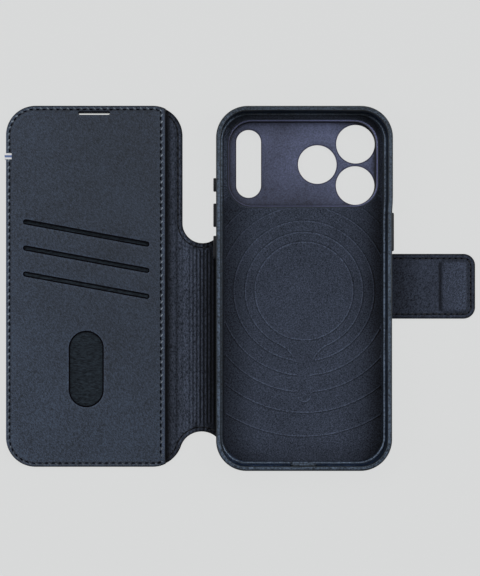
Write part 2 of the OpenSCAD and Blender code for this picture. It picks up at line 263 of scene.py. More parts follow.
class Shape:
    """Vertices and faces of one piece, in millimetres."""

    def __init__(self):
        self.verts = []
        self.faces = []

    def add(self, points):
        """Adds vertices, and returns their numbers."""
        first = len(self.verts)
        self.verts += [tuple(p) for p in points]
        return list(range(first, len(self.verts)))

    def ring(self, loop, z):
        """Adds a loop of vertices. z is one height, or one for each point."""
        return self.add(np.column_stack((loop, np.broadcast_to(z, len(loop)))))

    def plan(self, ring):
        """A ring's places in plan."""
        return np.array([self.verts[i][:2] for i in ring])

    def bridge(self, rings, closed=False):
        """Quads from each ring to the next, and from the last to the first if closed."""
        following = rings[1:] + rings[:1] if closed else rings[1:]
        for a, b in zip(rings, following):
            self.faces += zip(a, a[1:] + a[:1], b[1:] + b[:1], b)

    def cap(self, rings):
        """Closes the first ring and the last, each with one face."""
        self.faces += [tuple(rings[0][::-1]), tuple(rings[-1])]

    def fill(self, rings, z, points, relief):
        """Triangles over the region in the first ring and outside the others, through the points."""
        at = [i for ring in rings for i in ring]
        flat = [Vector(self.verts[i][:2]) for i in at] + [Vector(p) for p in points]
        edges = []
        start = 0
        for ring in rings:
            edges += [(start + i, start + (i + 1) % len(ring)) for i in range(len(ring))]
            start += len(ring)
        verts, _, faces, origins, _, _ = delaunay_2d_cdt(flat, edges, [], 0, 1e-5)
        heights = z + relief(np.array(verts))
        index = {}
        for i, origin in enumerate(origins):
            if origin and origin[0] < len(at):
                index[i] = at[origin[0]]
            else:
                index[i] = len(self.verts)
                self.verts.append((*verts[i], heights[i]))
        middles = np.array([[verts[i] for i in f] for f in faces]).mean(1)
        keep = inside(middles, self.plan(rings[0]))
        for hole in rings[1:]:
            keep &= ~inside(middles, self.plan(hole))
        self.faces += [tuple(index[i] for i in faces[k]) for k in np.flatnonzero(keep)]

    def extend(self, other):
        """Takes in another shape."""
        first = len(self.verts)
        self.verts += other.verts
        self.faces += [tuple(i + first for i in f) for f in other.faces]


def placed(x, y, z):
    """A point in metres, in the CAD frame."""
    return (x + CENTRE.x) * MM, (y + CENTRE.y) * MM, z * MM


def new_mesh(name, shape):
    """A shape's mesh, with its normals outward."""
    mesh = bpy.data.meshes.new(name)
    mesh.from_pydata([placed(*v) for v in shape.verts], [], shape.faces)
    work = bmesh.new()
    work.from_mesh(mesh)
    bmesh.ops.remove_doubles(work, verts=work.verts, dist=1e-7)
    bmesh.ops.recalc_face_normals(work, faces=work.faces)
    work.to_mesh(mesh)
    work.free()
    return mesh


def smooth(mesh, angle):
    """Smooth shading, but for the edges that turn by more than an angle."""
    mesh.shade_smooth()
    mesh.set_sharp_from_angle(angle=math.radians(angle))


def add_tint(mesh, tint):
    """Stores a factor for the colour at each point, one for all channels or one for each: painted light and shade,
    and dark edge paint.
    """
    at = np.array([v.co for v in mesh.vertices]) / MM - np.array(CENTRE) * (1, 1, 0)
    value = np.asarray(tint(at), dtype=np.float32)
    if value.ndim == 1:
        value = np.repeat(value[:, None], 3, axis=1)
    mesh.attributes.new("tint", "FLOAT_VECTOR", "POINT").data.foreach_set("vector", value.ravel())


def build(name, shape, material, body, replaces=(), blend=None, flat_angle=40, tint=None):
    """Makes a piece of a shape, and says what it rides on and stands for.

    blend is the two bodies that it lies between at a bend, and the X values where the bend starts and ends; only
    whether it is given counts: such a piece is fixed where it stands, not attached to a body.
    """
    mesh = new_mesh(name, shape)
    mesh.validate()
    if tint:
        add_tint(mesh, tint)
    mesh.materials.append(material)
    smooth(mesh, flat_angle)
    piece = bpy.data.objects.new(name, mesh)
    scene.collection.objects.link(piece)
    if replaces:
        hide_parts(*replaces)
    if blend:
        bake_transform(piece)
    else:
        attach(piece, body)
    return piece


def rounding(radius, steps=4):
    """Inset and drop along a quarter circle, from the side to the face."""
    angles = [math.pi / 2 * i / steps for i in range(steps + 1)]
    return [(radius * (1 - math.cos(a)), radius * (1 - math.sin(a))) for a in angles]


def channel(at, width=0.62, depth=0.22):
    """Inset and drop across a seam that draws the leather down."""
    return [(at - 1.1 * width, 0), (at - 0.45 * width, depth), (at + 0.45 * width, depth),
            (at + 1.0 * width, -0.03), (at + 1.8 * width, 0)]


def slab(loop, z0, z1, top=0.3, bottom=0.3, holes=(), hole_edge=0.25, cuts=(), seam=None, under_seam=None,
         seam_width=0.62, points=(), relief=level, folds=False):
    """A closed slab on a loop, with rounded edges and a sunk seam round its top or its underside.

    relief adds to its top, which passes through the points. folds gives the underside the points too.
    """
    shape = Shape()

    def top_ring(at, drop):
        return shape.ring(at, z1 - drop + relief(at))

    lower = rounding(bottom)[::-1]
    if under_seam:
        lower = channel(under_seam)[::-1] + lower
    upper = rounding(top)
    if seam is not None:
        upper += channel(seam, seam_width)
    rings = [shape.ring(inset(loop, i, cuts), z0 + drop) for i, drop in lower]
    rings += [top_ring(inset(loop, i, cuts), drop) for i, drop in upper]
    shape.bridge(rings)
    tops, bottoms = [rings[-1]], [rings[0]]
    edge = rounding(hole_edge, 3)
    for hole in holes:
        down = [shape.ring(inset(hole, -i), z0 + drop) for i, drop in edge[::-1]]
        up = [top_ring(inset(hole, -i), drop) for i, drop in edge]
        shape.bridge((down + up)[::-1])
        tops.append(up[-1])
        bottoms.append(down[0])
    for face, height, lift in ((tops, z1, relief), (bottoms, z0, level)):
        chosen = ()
        if len(points) and (folds or face is tops):
            outer, *inner = [shape.plan(ring) for ring in face]
            chosen = keep_inside(np.asarray(points), outer, inner)
        shape.fill(face, height, chosen, lift)
    return shape


def sweep(loop, profile):
    """A closed ring whose cross-section is a list of (inset, height), carried round a loop."""
    shape = Shape()
    shape.bridge([shape.ring(inset(loop, i), z) for i, z in profile], closed=True)
    return shape


def loft(sections, along="X", closed=False):
    """Joins upright loops, each at its place along X or Y. closed makes a tube, whose ends meet."""
    shape = Shape()
    rings = [shape.add((at, u, z) if along == "X" else (u, at, z) for u, z in loop) for at, loop in sections]
    shape.bridge(rings, closed)
    if not closed:
        shape.cap(rings)
    return shape


# ---------------------------------------------------------------- materials

class Paint:
    """A node material, built step by step round one Principled shader."""

    def __init__(self, name, **sockets):
        self.material = bpy.data.materials.new(name)
        self.material.use_nodes = True
        self.tree = self.material.node_tree
        self.shader = self.tree.nodes["Principled BSDF"]
        self.place = self.tree.nodes.new("ShaderNodeTexCoord").outputs["Object"]
        for socket, value in sockets.items():
            self.put(socket.replace("_", " "), value)

    def feed(self, socket, value):
        """Links an output to a socket, or sets the socket. A colour's alpha is 1."""
        if isinstance(value, bpy.types.NodeSocket):
            self.tree.links.new(value, socket)
        elif socket.type == "RGBA":
            socket.default_value = (*value[:3], 1)
        else:
            socket.default_value = value

    def put(self, socket, value):
        """Sets one of the shader's own sockets, or links an output to it."""
        self.feed(self.shader.inputs[socket], value)

    def node(self, kind, feeds=None, **settings):
        """Adds a node with its settings, and feeds its sockets."""
        made = self.tree.nodes.new("ShaderNode" + kind)
        for key, value in settings.items():
            setattr(made, key, value)
        for socket, value in (feeds or {}).items():
            self.feed(made.inputs[socket], value)
        return made

    def stretched(self, scale, angle=0):
        """Object coordinates, scaled unevenly, so that a texture runs in one direction."""
        turn = self.node("Mapping", {"Vector": self.place, "Rotation": (0, 0, math.radians(angle))})
        return self.node("Mapping", {"Vector": turn.outputs[0], "Scale": scale}).outputs[0]

    def noise(self, scale, detail=2.0, place=None, roughness=0.5):
        feeds = {"Scale": scale, "Detail": detail, "Roughness": roughness, "Vector": place or self.place}
        return self.node("TexNoise", feeds).outputs["Fac"]

    def cells(self, scale):
        made = self.node("TexVoronoi", {"Scale": scale, "Vector": self.place}, feature="SMOOTH_F1")
        return made.outputs["Distance"]

    def maths(self, operation, a, b=0.0):
        return self.node("Math", {0: a, 1: b}, operation=operation).outputs[0]

    def share(self, a, part, b):
        """A part of factor a, and the rest of factor b."""
        return self.maths("ADD", self.maths("MULTIPLY", a, part), self.maths("MULTIPLY", b, 1 - part))

    def fit(self, value, low, high, out_low=0.0, out_high=1.0):
        feeds = {"Value": value, "From Min": low, "From Max": high, "To Min": out_low, "To Max": out_high}
        return self.node("MapRange", feeds).outputs[0]

    def blend(self, factor, a, b, kind="MIX"):
        """Colour a where the factor is 0 and b where it is 1. MULTIPLY with a factor of 1 gives a times b."""
        made = self.node("Mix", {"Factor": factor}, data_type="RGBA", blend_type=kind)
        for socket, value in zip([s for s in made.inputs if s.type == "RGBA"], (a, b)):
            self.feed(socket, value)
        return next(s for s in made.outputs if s.type == "RGBA")

    def along(self, axis, stops):
        """A factor that follows stops along one axis, each a position in millimetres and a value."""
        shift = {"X": CENTRE.x, "Y": CENTRE.y, "Z": 0}[axis]
        place = self.node("SeparateXYZ", {0: self.place}).outputs[axis]
        low, high = stops[0][0], stops[-1][0]
        ramp = self.node("ValToRGB", {0: self.fit(place, (low + shift) * MM, (high + shift) * MM)})
        elements = ramp.color_ramp.elements
        for i, (position, value) in enumerate(stops):
            at = (position - low) / (high - low)
            element = elements[i] if i < 2 else elements.new(at)
            element.position = at
            element.color = (value / 2, value / 2, value / 2, 1)
        return self.maths("MULTIPLY", ramp.outputs[0], 2.0)

    def coat(self, tone, low, high, dark, light, zones=(), tinted=False):
        """Colours the surface from dark to light as the tone goes from low to high.

        Zones multiply that along an axis, and tinted multiplies it by the mesh's own tint; both carry painted
        light and shade.
        """
        colour = self.blend(self.fit(tone, low, high), dark, light)
        factors = [self.along(axis, stops) for axis, stops in zones]
        if tinted:
            factors.append(self.node("Attribute", attribute_name="tint").outputs["Vector"])
        for factor in factors:
            colour = self.blend(1.0, colour, factor, "MULTIPLY")
        self.put("Base Color", colour)

    def bump(self, height, strength, distance_mm):
        """Adds relief, on top of any that the shader has."""
        feeds = {"Strength": strength, "Distance": distance_mm * MM, "Height": height}
        last = self.shader.inputs["Normal"]
        if last.is_linked:
            feeds["Normal"] = last.links[0].from_socket
        self.put("Normal", self.node("Bump", feeds).outputs[0])


def leather(name, dark, light, relief=0.5, rough=(0.5, 0.68), zones=(), tinted=False):
    """Smooth full-grain leather: soft patches of tone, fine pores and a faint pull in the grain."""
    paint = Paint(name, Specular_IOR_Level=0.28)
    pull = paint.noise(1, 3, paint.stretched((2300, 1150, 1900), -38), 0.7)
    paint.coat(paint.share(paint.noise(45, 3), 0.12, pull), 0.34, 0.66, dark, light, zones, tinted)
    paint.put("Roughness", paint.fit(pull, 0.3, 0.7, *rough))
    paint.bump(paint.cells(1250), relief, 0.12)
    paint.bump(pull, relief * 0.8, 0.15)
    return paint.material


def suede(name, dark, light, angle=45, pull=2.0, tinted=True, sheen=0.06):
    """Napped suede or microfibre: short fibres brushed in one direction, dull, with a faint sheen."""
    paint = Paint(name, Roughness=0.92, Specular_IOR_Level=0.12, Sheen_Weight=sheen)
    fibres = paint.noise(1, 3, paint.stretched((2000, 2000 / pull, 2000), angle), 0.75)
    paint.coat(paint.share(paint.noise(60, 3), 0.1, fibres), 0.34, 0.66, dark, light, tinted=tinted)
    paint.bump(fibres, 0.6, 0.15)
    paint.bump(paint.noise(700, 2), 0.24, 0.12)
    return paint.material


def yarn(name, dark, light, tinted=False):
    """Twisted thread: fine slanted plies."""
    paint = Paint(name, Roughness=0.75, Specular_IOR_Level=0.3, Sheen_Weight=0.1)
    plies = paint.noise(1, 1, paint.stretched((2600, 700, 2600), 35))
    paint.coat(plies, 0.4, 0.6, dark, light, tinted=tinted)
    paint.bump(plies, 0.8, 0.1)
    return paint.material


def moulded(name, dark, light, rough=(0.4, 0.55), zones=(), tinted=False, grain=1700, **sockets):
    """Matt moulded polymer with a fine spark texture."""
    paint = Paint(name, **{"Specular_IOR_Level": 0.45, **sockets})
    speckle = paint.noise(grain, 3, roughness=0.7)
    paint.coat(paint.share(paint.noise(50, 2), 0.25, speckle), 0.38, 0.62, dark, light, zones, tinted)
    paint.put("Roughness", paint.fit(speckle, 0.35, 0.65, *rough))
    paint.bump(speckle, 0.35, 0.06)
    return paint.material


def anodised(name, dark, light, tinted=False):
    """Bead-blasted and anodised metal."""
    paint = Paint(name, Metallic=0.3, Specular_IOR_Level=0.4)
    blast = paint.noise(1500, 3, roughness=0.7)
    paint.coat(paint.share(paint.noise(40, 3), 0.35, blast), 0.36, 0.64, dark, light, tinted=tinted)
    paint.put("Roughness", paint.fit(blast, 0.3, 0.7, 0.42, 0.55))
    paint.bump(blast, 0.4, 0.06)
    return paint.material


def ribbon(name, ground, stripe, middle):
    """Fine woven ribbon with one stripe across it, in fine cross threads."""
    paint = Paint(name, Roughness=0.7, Sheen_Weight=0.2)
    place = paint.node("SeparateXYZ", {0: paint.place}).outputs
    off = paint.maths("ABSOLUTE", paint.maths("SUBTRACT", place["Y"], middle))
    plain = paint.blend(paint.fit(off, 0.45 * MM, 0.6 * MM), stripe, ground)
    warp, weft = [paint.maths("SINE", paint.maths("MULTIPLY", place[axis], 16000)) for axis in "XY"]
    weave = paint.maths("MULTIPLY", warp, weft)
    shade = paint.blend(paint.fit(weave, -1, 1), (0.8, 0.8, 0.8), (1.0, 1.0, 1.0))
    paint.put("Base Color", paint.blend(1.0, plain, shade, "MULTIPLY"))
    paint.bump(weave, 0.5, 0.05)
    return paint.material


def plated(name, colour, rough):
    """Plated magnets and steel, brushed along X."""
    paint = Paint(name, Metallic=1.0)
    brushed = paint.noise(1, 2, paint.stretched((300, 4000, 300)))
    paint.put("Base Color", paint.blend(brushed, tuple(0.8 * c for c in colour), colour))
    paint.put("Roughness", paint.fit(brushed, 0.3, 0.7, rough, rough + 0.15))
    return paint.material


def tones(middle, spread):
    """A dark and a light tone about a middle one."""
    return tuple(c * (1 - spread) for c in middle), tuple(c * (1 + spread) for c in middle)


# painted light and shade: how the card panel lightens and darkens over its face, and a painted highlight along the
# left of the dark paint on its edge; and the paint on the leather's edge
PANEL_PAINTED_LIGHT_DOWN = ("Y", [(-86, 1.18), (-60, 1.14), (-10, 0.94), (87, 0.87)])
PANEL_PAINTED_LIGHT_ACROSS = ("X", [(-141, 1.35), (-138.6, 1.1), (-125, 1.02), (-90, 0.88), (-66.8, 0.9), (-66.3, 1.45),
                      (-64.9, 1.45)])
EDGE_PAINT_LEFT_HIGHLIGHT = ("X", [(-141, 1.5), (-139.9, 1.5), (-139.6, 0.125), (-65, 0.125)])
EDGE_UP = ("Z", [(0.0, 1.0), (0.5, 1.0), (0.72, 0.2), (1.0, 0.2)])
# the cool reflection of the shell's polymer
BLUISH = (0.82, 0.92, 1.0)

outer_leather = leather("outer_leather", *tones((0.025, 0.035, 0.053), 0.5), zones=[EDGE_UP])
panel_leather = leather("panel_leather", *tones((0.0235, 0.0335, 0.0535), 0.85), relief=0.6,
                        zones=[PANEL_PAINTED_LIGHT_DOWN, PANEL_PAINTED_LIGHT_ACROSS], tinted=True)
shell_hide = leather("shell_hide", *tones((0.024, 0.033, 0.050), 0.5), rough=(0.42, 0.55))
# dark edge paint, with a painted highlight along the flap's left edge
edge_paint_and_highlight = moulded("edge_paint_and_highlight", (0.024, 0.032, 0.056), (0.048, 0.064, 0.104), rough=(0.5, 0.7),
                     zones=[EDGE_PAINT_LEFT_HIGHLIGHT], Specular_IOR_Level=0.2)
lining_suede = suede("lining_suede", *tones((0.0285, 0.035, 0.0515), 0.97), angle=0)
pad_suede = suede("pad_suede", *tones((0.024, 0.028, 0.040), 0.85), tinted=False)
strap_suede = suede("strap_suede", *tones((0.0265, 0.033, 0.0505), 0.85), angle=35, pull=1.7)
bay_microfibre = suede("bay_microfibre", *tones((0.0305, 0.0383, 0.0585), 0.9), angle=40, pull=1.3)
pocket_cloth = suede("pocket_cloth", *tones((0.012, 0.017, 0.023), 0.8), angle=90, pull=4.0, tinted=False,
                     sheen=0.0)
slate_thread = yarn("slate_thread", (0.10, 0.13, 0.17), (0.22, 0.26, 0.31), tinted=True)
black_thread = yarn("black_thread", (0.002, 0.003, 0.005), (0.008, 0.010, 0.015))
# painted shade: near-black pieces at the needle holes and just inside the cut-outs
hole_shadow = moulded("hole_shadow", (0.001, 0.001, 0.002), (0.003, 0.003, 0.005), rough=(0.8, 0.9),
                      Specular_IOR_Level=0.05)
frame_polymer = moulded("frame_polymer", *tones((0.044, 0.061, 0.090), 0.85), tinted=True, grain=1100,
                        Specular_Tint=BLUISH)
# a lighter copy of the frame's polymer: painted highlight on the bead and on the port's sleeve
bead_highlight_polymer = moulded("bead_highlight_polymer", *tones((0.070, 0.095, 0.138), 0.9), tinted=True, grain=900,
                       Specular_Tint=BLUISH)
guard_polymer = moulded("guard_polymer", *tones((0.022, 0.028, 0.040), 0.3), Specular_Tint=BLUISH)
plate_metal = anodised("plate_metal", *tones((0.056, 0.066, 0.118), 0.55), tinted=True)
wall_metal = anodised("wall_metal", *tones((0.062, 0.070, 0.130), 0.3), tinted=True)
rim_metal = anodised("rim_metal", *tones((0.026, 0.028, 0.060), 0.3), tinted=True)
button_metal = anodised("button_metal", *tones((0.005, 0.006, 0.009), 0.3))
stripe_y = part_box("woven_tag")[0].y + 1.45 * MM
tag_ribbon = ribbon("tag_ribbon", (0.72, 0.72, 0.74), (0.10, 0.16, 0.34), stripe_y)
board = moulded("board", (0.24, 0.20, 0.15), (0.34, 0.29, 0.22), rough=(0.8, 0.95))
nickel = plated("nickel", (0.62, 0.61, 0.60), 0.3)
zinc = plated("zinc", (0.45, 0.46, 0.48), 0.4)


# ---------------------------------------------------------------- seams

# a thread from end to end: how far along it, and how thick it is there
THREAD_HALF = ((0.35, 1), (0.75, 0.85), (0.93, 0.5), (1, 0.05))
THREAD_FORM = (*((-t, size) for t, size in THREAD_HALF[::-1]), *THREAD_HALF)
# how far stitches keep from a cut
CUT_CLEAR = 1.2


def capsule(shape, at, direction, normal, length, width, height, sides=8):
    """A stitch: a round-ended thread that rises out of one hole and dives into the next."""
    side = np.cross(normal, direction)
    turn = 2 * np.pi * np.arange(sides) / sides
    rings = []
    for t, size in THREAD_FORM:
        middle = at + direction * (t * length / 2) - normal * (t * t * height * 0.45)
        across = np.outer(np.cos(turn), side) * (width / 2 * size)
        rise = np.outer(np.sin(turn), normal) * (height / 2 * size)
        rings.append(shape.add(middle + across + rise))
    shape.bridge(rings)
    shape.cap(rings)


def walk(loop, pitch):
    """Evenly spaced points round a loop, each with its direction."""
    ends = np.vstack((loop, loop[:1]))
    along = np.concatenate(([0], np.cumsum(np.linalg.norm(np.diff(ends, axis=0), axis=1))))
    count = max(1, round(along[-1] / pitch))
    places = (np.arange(count) + 0.5) * along[-1] / count

    def at(s):
        return np.column_stack([np.interp(s, along, ends[:, i]) for i in (0, 1)])

    d = at(places + 0.2) - at(places - 0.2)
    return at(places), d / np.linalg.norm(d, axis=1, keepdims=True)


def stitches(name, path, z, body, replaces=(), blend=None, pitch=STITCH, span=(-math.inf, math.inf), up=1,
             width=0.62, share=0.66, slant=12, hole=0.42, hole_in=0.0, hole_up=-0.1, thread=black_thread,
             tint=None):
    """A seam's visible threads round a path, and dark pieces of painted shade at the needle holes between them.

    It keeps between the two X values of span. share and hole are a thread's and a hole's part of the pitch.
    """
    threads, holes = Shape(), Shape()
    normal = np.array((0.0, 0.0, float(up)))
    for p, d in zip(*walk(path, pitch)):
        if not span[0] < p[0] < span[1]:
            continue
        turn = math.radians(slant + rng.uniform(-3, 3))
        c, s = math.cos(turn), math.sin(turn)
        at = np.array((*p, z))
        slanted = np.array((d[0] * c - d[1] * s, d[0] * s + d[1] * c, 0.0))
        ahead, inward = np.array((*d, 0.0)), np.array((-d[1], d[0], 0.0))
        capsule(threads, at, slanted, normal, pitch * share, width * rng.uniform(0.94, 1.06), 0.42)
        gap = at + ahead * pitch / 2 + inward * hole_in + normal * hole_up
        capsule(holes, gap, ahead, normal, pitch * hole, width * 1.25, 0.16, sides=6)
    build(name, threads, thread, body, replaces, blend, tint=tint)
    build(name + "_hole_shadows", holes, hole_shadow, body, blend=blend)


# ---------------------------------------------------------------- outlines

def corner_angle(radius, centre, x):
    """Angle, from +X, at which a circle stands at x."""
    return math.degrees(math.acos(max(-1, min(1, (x - centre[0]) / radius))))


CORNER = (FLAP_HIGH.x - FLAP_R, FLAP_LOW.y + FLAP_R)
TOP_CORNER = (FLAP_HIGH.x - FLAP_R, FLAP_HIGH.y - FLAP_R)
LOWER_CORNER = (FLAP_LOW.x + FLAP_R, FLAP_LOW.y + FLAP_R)
UPPER_CORNER = (FLAP_LOW.x + FLAP_R, FLAP_HIGH.y - FLAP_R)
HEEL_TURN = math.degrees(math.atan2(HEEL[1] - CORNER[1], HEEL[0] - CORNER[0]))


def heel_arc(x_from, x_to):
    """The heel notch between two X values, left to right. With None it starts at the flap's corner."""
    start = 180 + HEEL_TURN if x_from is None else corner_angle(HEEL_R, HEEL, x_from)
    return arc(*HEEL, HEEL_R, start, corner_angle(HEEL_R, HEEL, x_to))


def notch_arc(x_from, x_to):
    """The button notch between two X values, right to left. With None it ends at the flap's edge."""
    start = -corner_angle(NOTCH_R, NOTCH, x_from)
    end = -180 if x_to is None else -corner_angle(NOTCH_R, NOTCH, x_to)
    return arc(*NOTCH, NOTCH_R, start, end)


def notch_side():
    """The flap's edge from the button notch up to its corner."""
    return line(NOTCH - np.array((NOTCH_R, 0)), (FLAP_HIGH.x, TOP_CORNER[1]))


def flap_around(*right_side):
    """The flap's outline, with any right side from the foot to the head."""
    foot = line((LOWER_CORNER[0], FLAP_LOW.y), (CORNER[0], FLAP_LOW.y))
    head = line((TOP_CORNER[0], FLAP_HIGH.y), (UPPER_CORNER[0], FLAP_HIGH.y))
    free_edge = line((FLAP_LOW.x, UPPER_CORNER[1]), (FLAP_LOW.x, LOWER_CORNER[1]))
    return joined(arc(*LOWER_CORNER, FLAP_R, 180, 270), foot, *right_side, head,
                  arc(*UPPER_CORNER, FLAP_R, 90, 180), free_edge)


def flap_loop(right):
    """The flap with the near half of the spine."""
    return flap_around(arc(*CORNER, FLAP_R, -90, HEEL_TURN), heel_arc(None, right), notch_arc(right, None),
                       notch_side(), arc(*TOP_CORNER, FLAP_R, 0, 90))


def flap_panel_loop(right):
    """The flap as far as the card panel's mouth."""
    low = arc(*CORNER, FLAP_R, -90, -corner_angle(FLAP_R, CORNER, right))
    high = arc(*TOP_CORNER, FLAP_R, corner_angle(FLAP_R, TOP_CORNER, right), 90)
    return flap_around(low, line(low[-1], high[0]), high)


def lining_loop(left, right):
    """The lining between the card panel and the middle of the spine."""
    return joined(
        arc(*CORNER, FLAP_R, -corner_angle(FLAP_R, CORNER, left), HEEL_TURN),
        heel_arc(None, right), notch_arc(right, None), notch_side(),
        arc(*TOP_CORNER, FLAP_R, 0, corner_angle(FLAP_R, TOP_CORNER, left)))


def band_loop(left, right):
    """The spine between two X values."""
    return joined(heel_arc(left, right), notch_arc(right, left))


REAR_X = REAR_HIGH.x + REAR_EDGE
REAR_Y0 = REAR_LOW.y - REAR_EDGE
REAR_Y1 = REAR_HIGH.y + REAR_EDGE


def rear_loop(left):
    """The rear panel with the far half of the spine."""
    low, high = REAR_Y0 + REAR_R, REAR_Y1 - REAR_R
    x = REAR_X - REAR_R
    return joined(
        heel_arc(left, -39.6), arc(-x, low, REAR_R, 190, 270), line((-x, REAR_Y0), (x, REAR_Y0)),
        arc(x, low, REAR_R, -90, 0), line((REAR_X, low), (REAR_X, high)), arc(x, high, REAR_R, 0, 90),
        line((x, REAR_Y1), (-x, REAR_Y1)), arc(-x, high, REAR_R, 90, 172), notch_arc(-40.6, left))


# ---------------------------------------------------------------- flap

# the card panel's cut-outs: three slanted slots, a thumb window and an earpiece slot
SLOT_T = 2.3
SLOT_L = 60.6
SLOT_SLOPE = 10.4
SLOT_Y = (26.2, 13.8, 1.5)
THUMB = opening("thumb_window")
THUMB_W, THUMB_H = 16.4, 36
EAR_W, EAR_H = 15.1, 1.7
EAR = (-98.7, 82.95)
HEM_W = 3.0
# height of the seams on the outer leather
BACK_SEAM_Z = 0.26
# painted shade and painted highlight across the crease inside the panel's seam, by distance from its edge
CREASE_AT = (1.5, 1.75, 2.15, 2.4, 2.7, 3.4, 4.2)
CREASE_PAINTED_LIGHT = (1.0, 0.7, 0.66, 0.95, 1.14, 1.1, 1.0)

# the bodies that the spine's sheets bend between, and where each bend starts and ends
FLAP_BEND = ("flap", "spine", FLAP_FOLD - 0.6, FLAP_FOLD + 3.4)
SPINE_BEND = ("spine", "rear_panel", SPINE_FOLD - 3.2, SPINE_FOLD + 0.9)


def ribs(points):
    """The spine lining's grooves, deeper towards the shell, and the fold's. They stop short of the seams."""
    x = points[:, 0]
    drop = np.zeros(len(points))
    for centre, depth, _ in RIBS:
        drop -= depth * np.exp(-((x - centre) / 0.36) ** 2)
    drop -= 0.26 * np.exp(-((x - FOLD_GROOVE) / 0.7) ** 2)
    for centre, radius in ((NOTCH, NOTCH_R), (HEEL, HEEL_R)):
        drop *= smoothstep(2.3, 3.6, np.hypot(*(points - centre).T) - radius)
    for centre, radius in ((TOP_CORNER, FLAP_R), (CORNER, FLAP_R)):
        beyond = (abs(points[:, 1]) > abs(centre[1])) & (x > centre[0])
        depth_in = radius - np.hypot(*(points - centre).T)
        drop *= np.where(beyond, smoothstep(2.3, 3.6, depth_in), 1)
    return drop


def lining_border_paint_and_painted_light(points, loop):
    """Dark paint round a lining's edge, a painted highlight on the band inside it, and painted shade in the crease
    at its seam.
    """
    at = (0.3, 0.7, SEAM - 0.45, SEAM - 0.18, SEAM + 0.18, SEAM + 0.4)
    return np.interp(distance(points[:, :2], loop), at, (0.10, 1.1, 1.15, 0.15, 0.15, 1.0))


def fold_painted_shade(points):
    """Painted shade on the nap: darker in the grooves, beside the panel and in the gutter by the shell, a little
    lighter towards the top.
    """
    x = points[:, 0]
    beside = (0.0, 0.8, 1.4, 2.0, 2.8, 3.8, 5.5)
    tint = np.interp(x - PANEL_HIGH.x, beside, (0.10, 0.16, 0.30, 0.52, 0.78, 0.96, 1.12))
    tint *= 1 + 0.1 * smoothstep(0, 30, points[:, 1])
    tint *= 1 - 0.84 * smoothstep(SPINE_CUT - 1, SPINE_FOLD + 2.5, x)
    tint *= 1 + 0.42 * smoothstep(FOLD_GROOVE, RIB_FIRST, x)
    tint *= 1 - 0.5 * np.exp(-((x - FOLD_GROOVE) / 0.7) ** 2)
    for centre, _, groove_shade in RIBS:
        tint *= 1 - groove_shade * np.exp(-((x - centre) / 0.42) ** 2)
    return tint


def rib_points(x0, x1):
    """Mesh points close enough together for the spine's grooves."""
    return grid(np.arange(x0 + 0.24, x1, 0.24), np.arange(FLAP_LOW.y, FLAP_HIGH.y, 3.0))


def fold_points(x0, x1):
    """Mesh points for leather that bends."""
    return grid(np.arange(x0, x1, 0.5), np.arange(FLAP_LOW.y, FLAP_HIGH.y, 3.0))


def bending_cover(loop, cuts, points, bottom=0.45, holes=()):
    """An outer leather sheet that lies across a fold, with mesh points on both faces and a seam's channel in its
    underside.
    """
    return slab(loop, 0, LEATHER_T, top=0.1, bottom=bottom, holes=holes, cuts=cuts, under_seam=SEAM,
                points=points, folds=True)


def bending_lining(loop, cuts, points, relief, seam=SEAM - EDGE_RIM, seam_width=0.4):
    """A suede lining that lies across a fold, on the cover under it."""
    return slab(inset(loop, EDGE_RIM, cuts), LEATHER_T, SPINE_T, top=0.4, bottom=0.05, cuts=cuts, seam=seam,
                seam_width=seam_width, points=points, relief=relief, folds=True)


def make_flap_back(left, ear):
    """The flap's cover, and the lining between the card panel and the spine, from left."""
    cuts = [SPINE_CUT, left]
    points = fold_points(FLAP_FOLD - 2, SPINE_CUT)
    cover = bending_cover(flap_loop(SPINE_CUT), [SPINE_CUT], points, holes=[ear])
    build("flap_cover", cover, outer_leather, "flap", ["flap_leather"], FLAP_BEND)
    lining = bending_lining(lining_loop(left, SPINE_CUT), cuts, rib_points(left, SPINE_CUT), ribs)
    build("flap_fold_lining", lining, lining_suede, "flap", ["flap_lining"], FLAP_BEND,
          tint=lambda p: fold_painted_shade(p) * lining_border_paint_and_painted_light(p, flap_loop(0)))


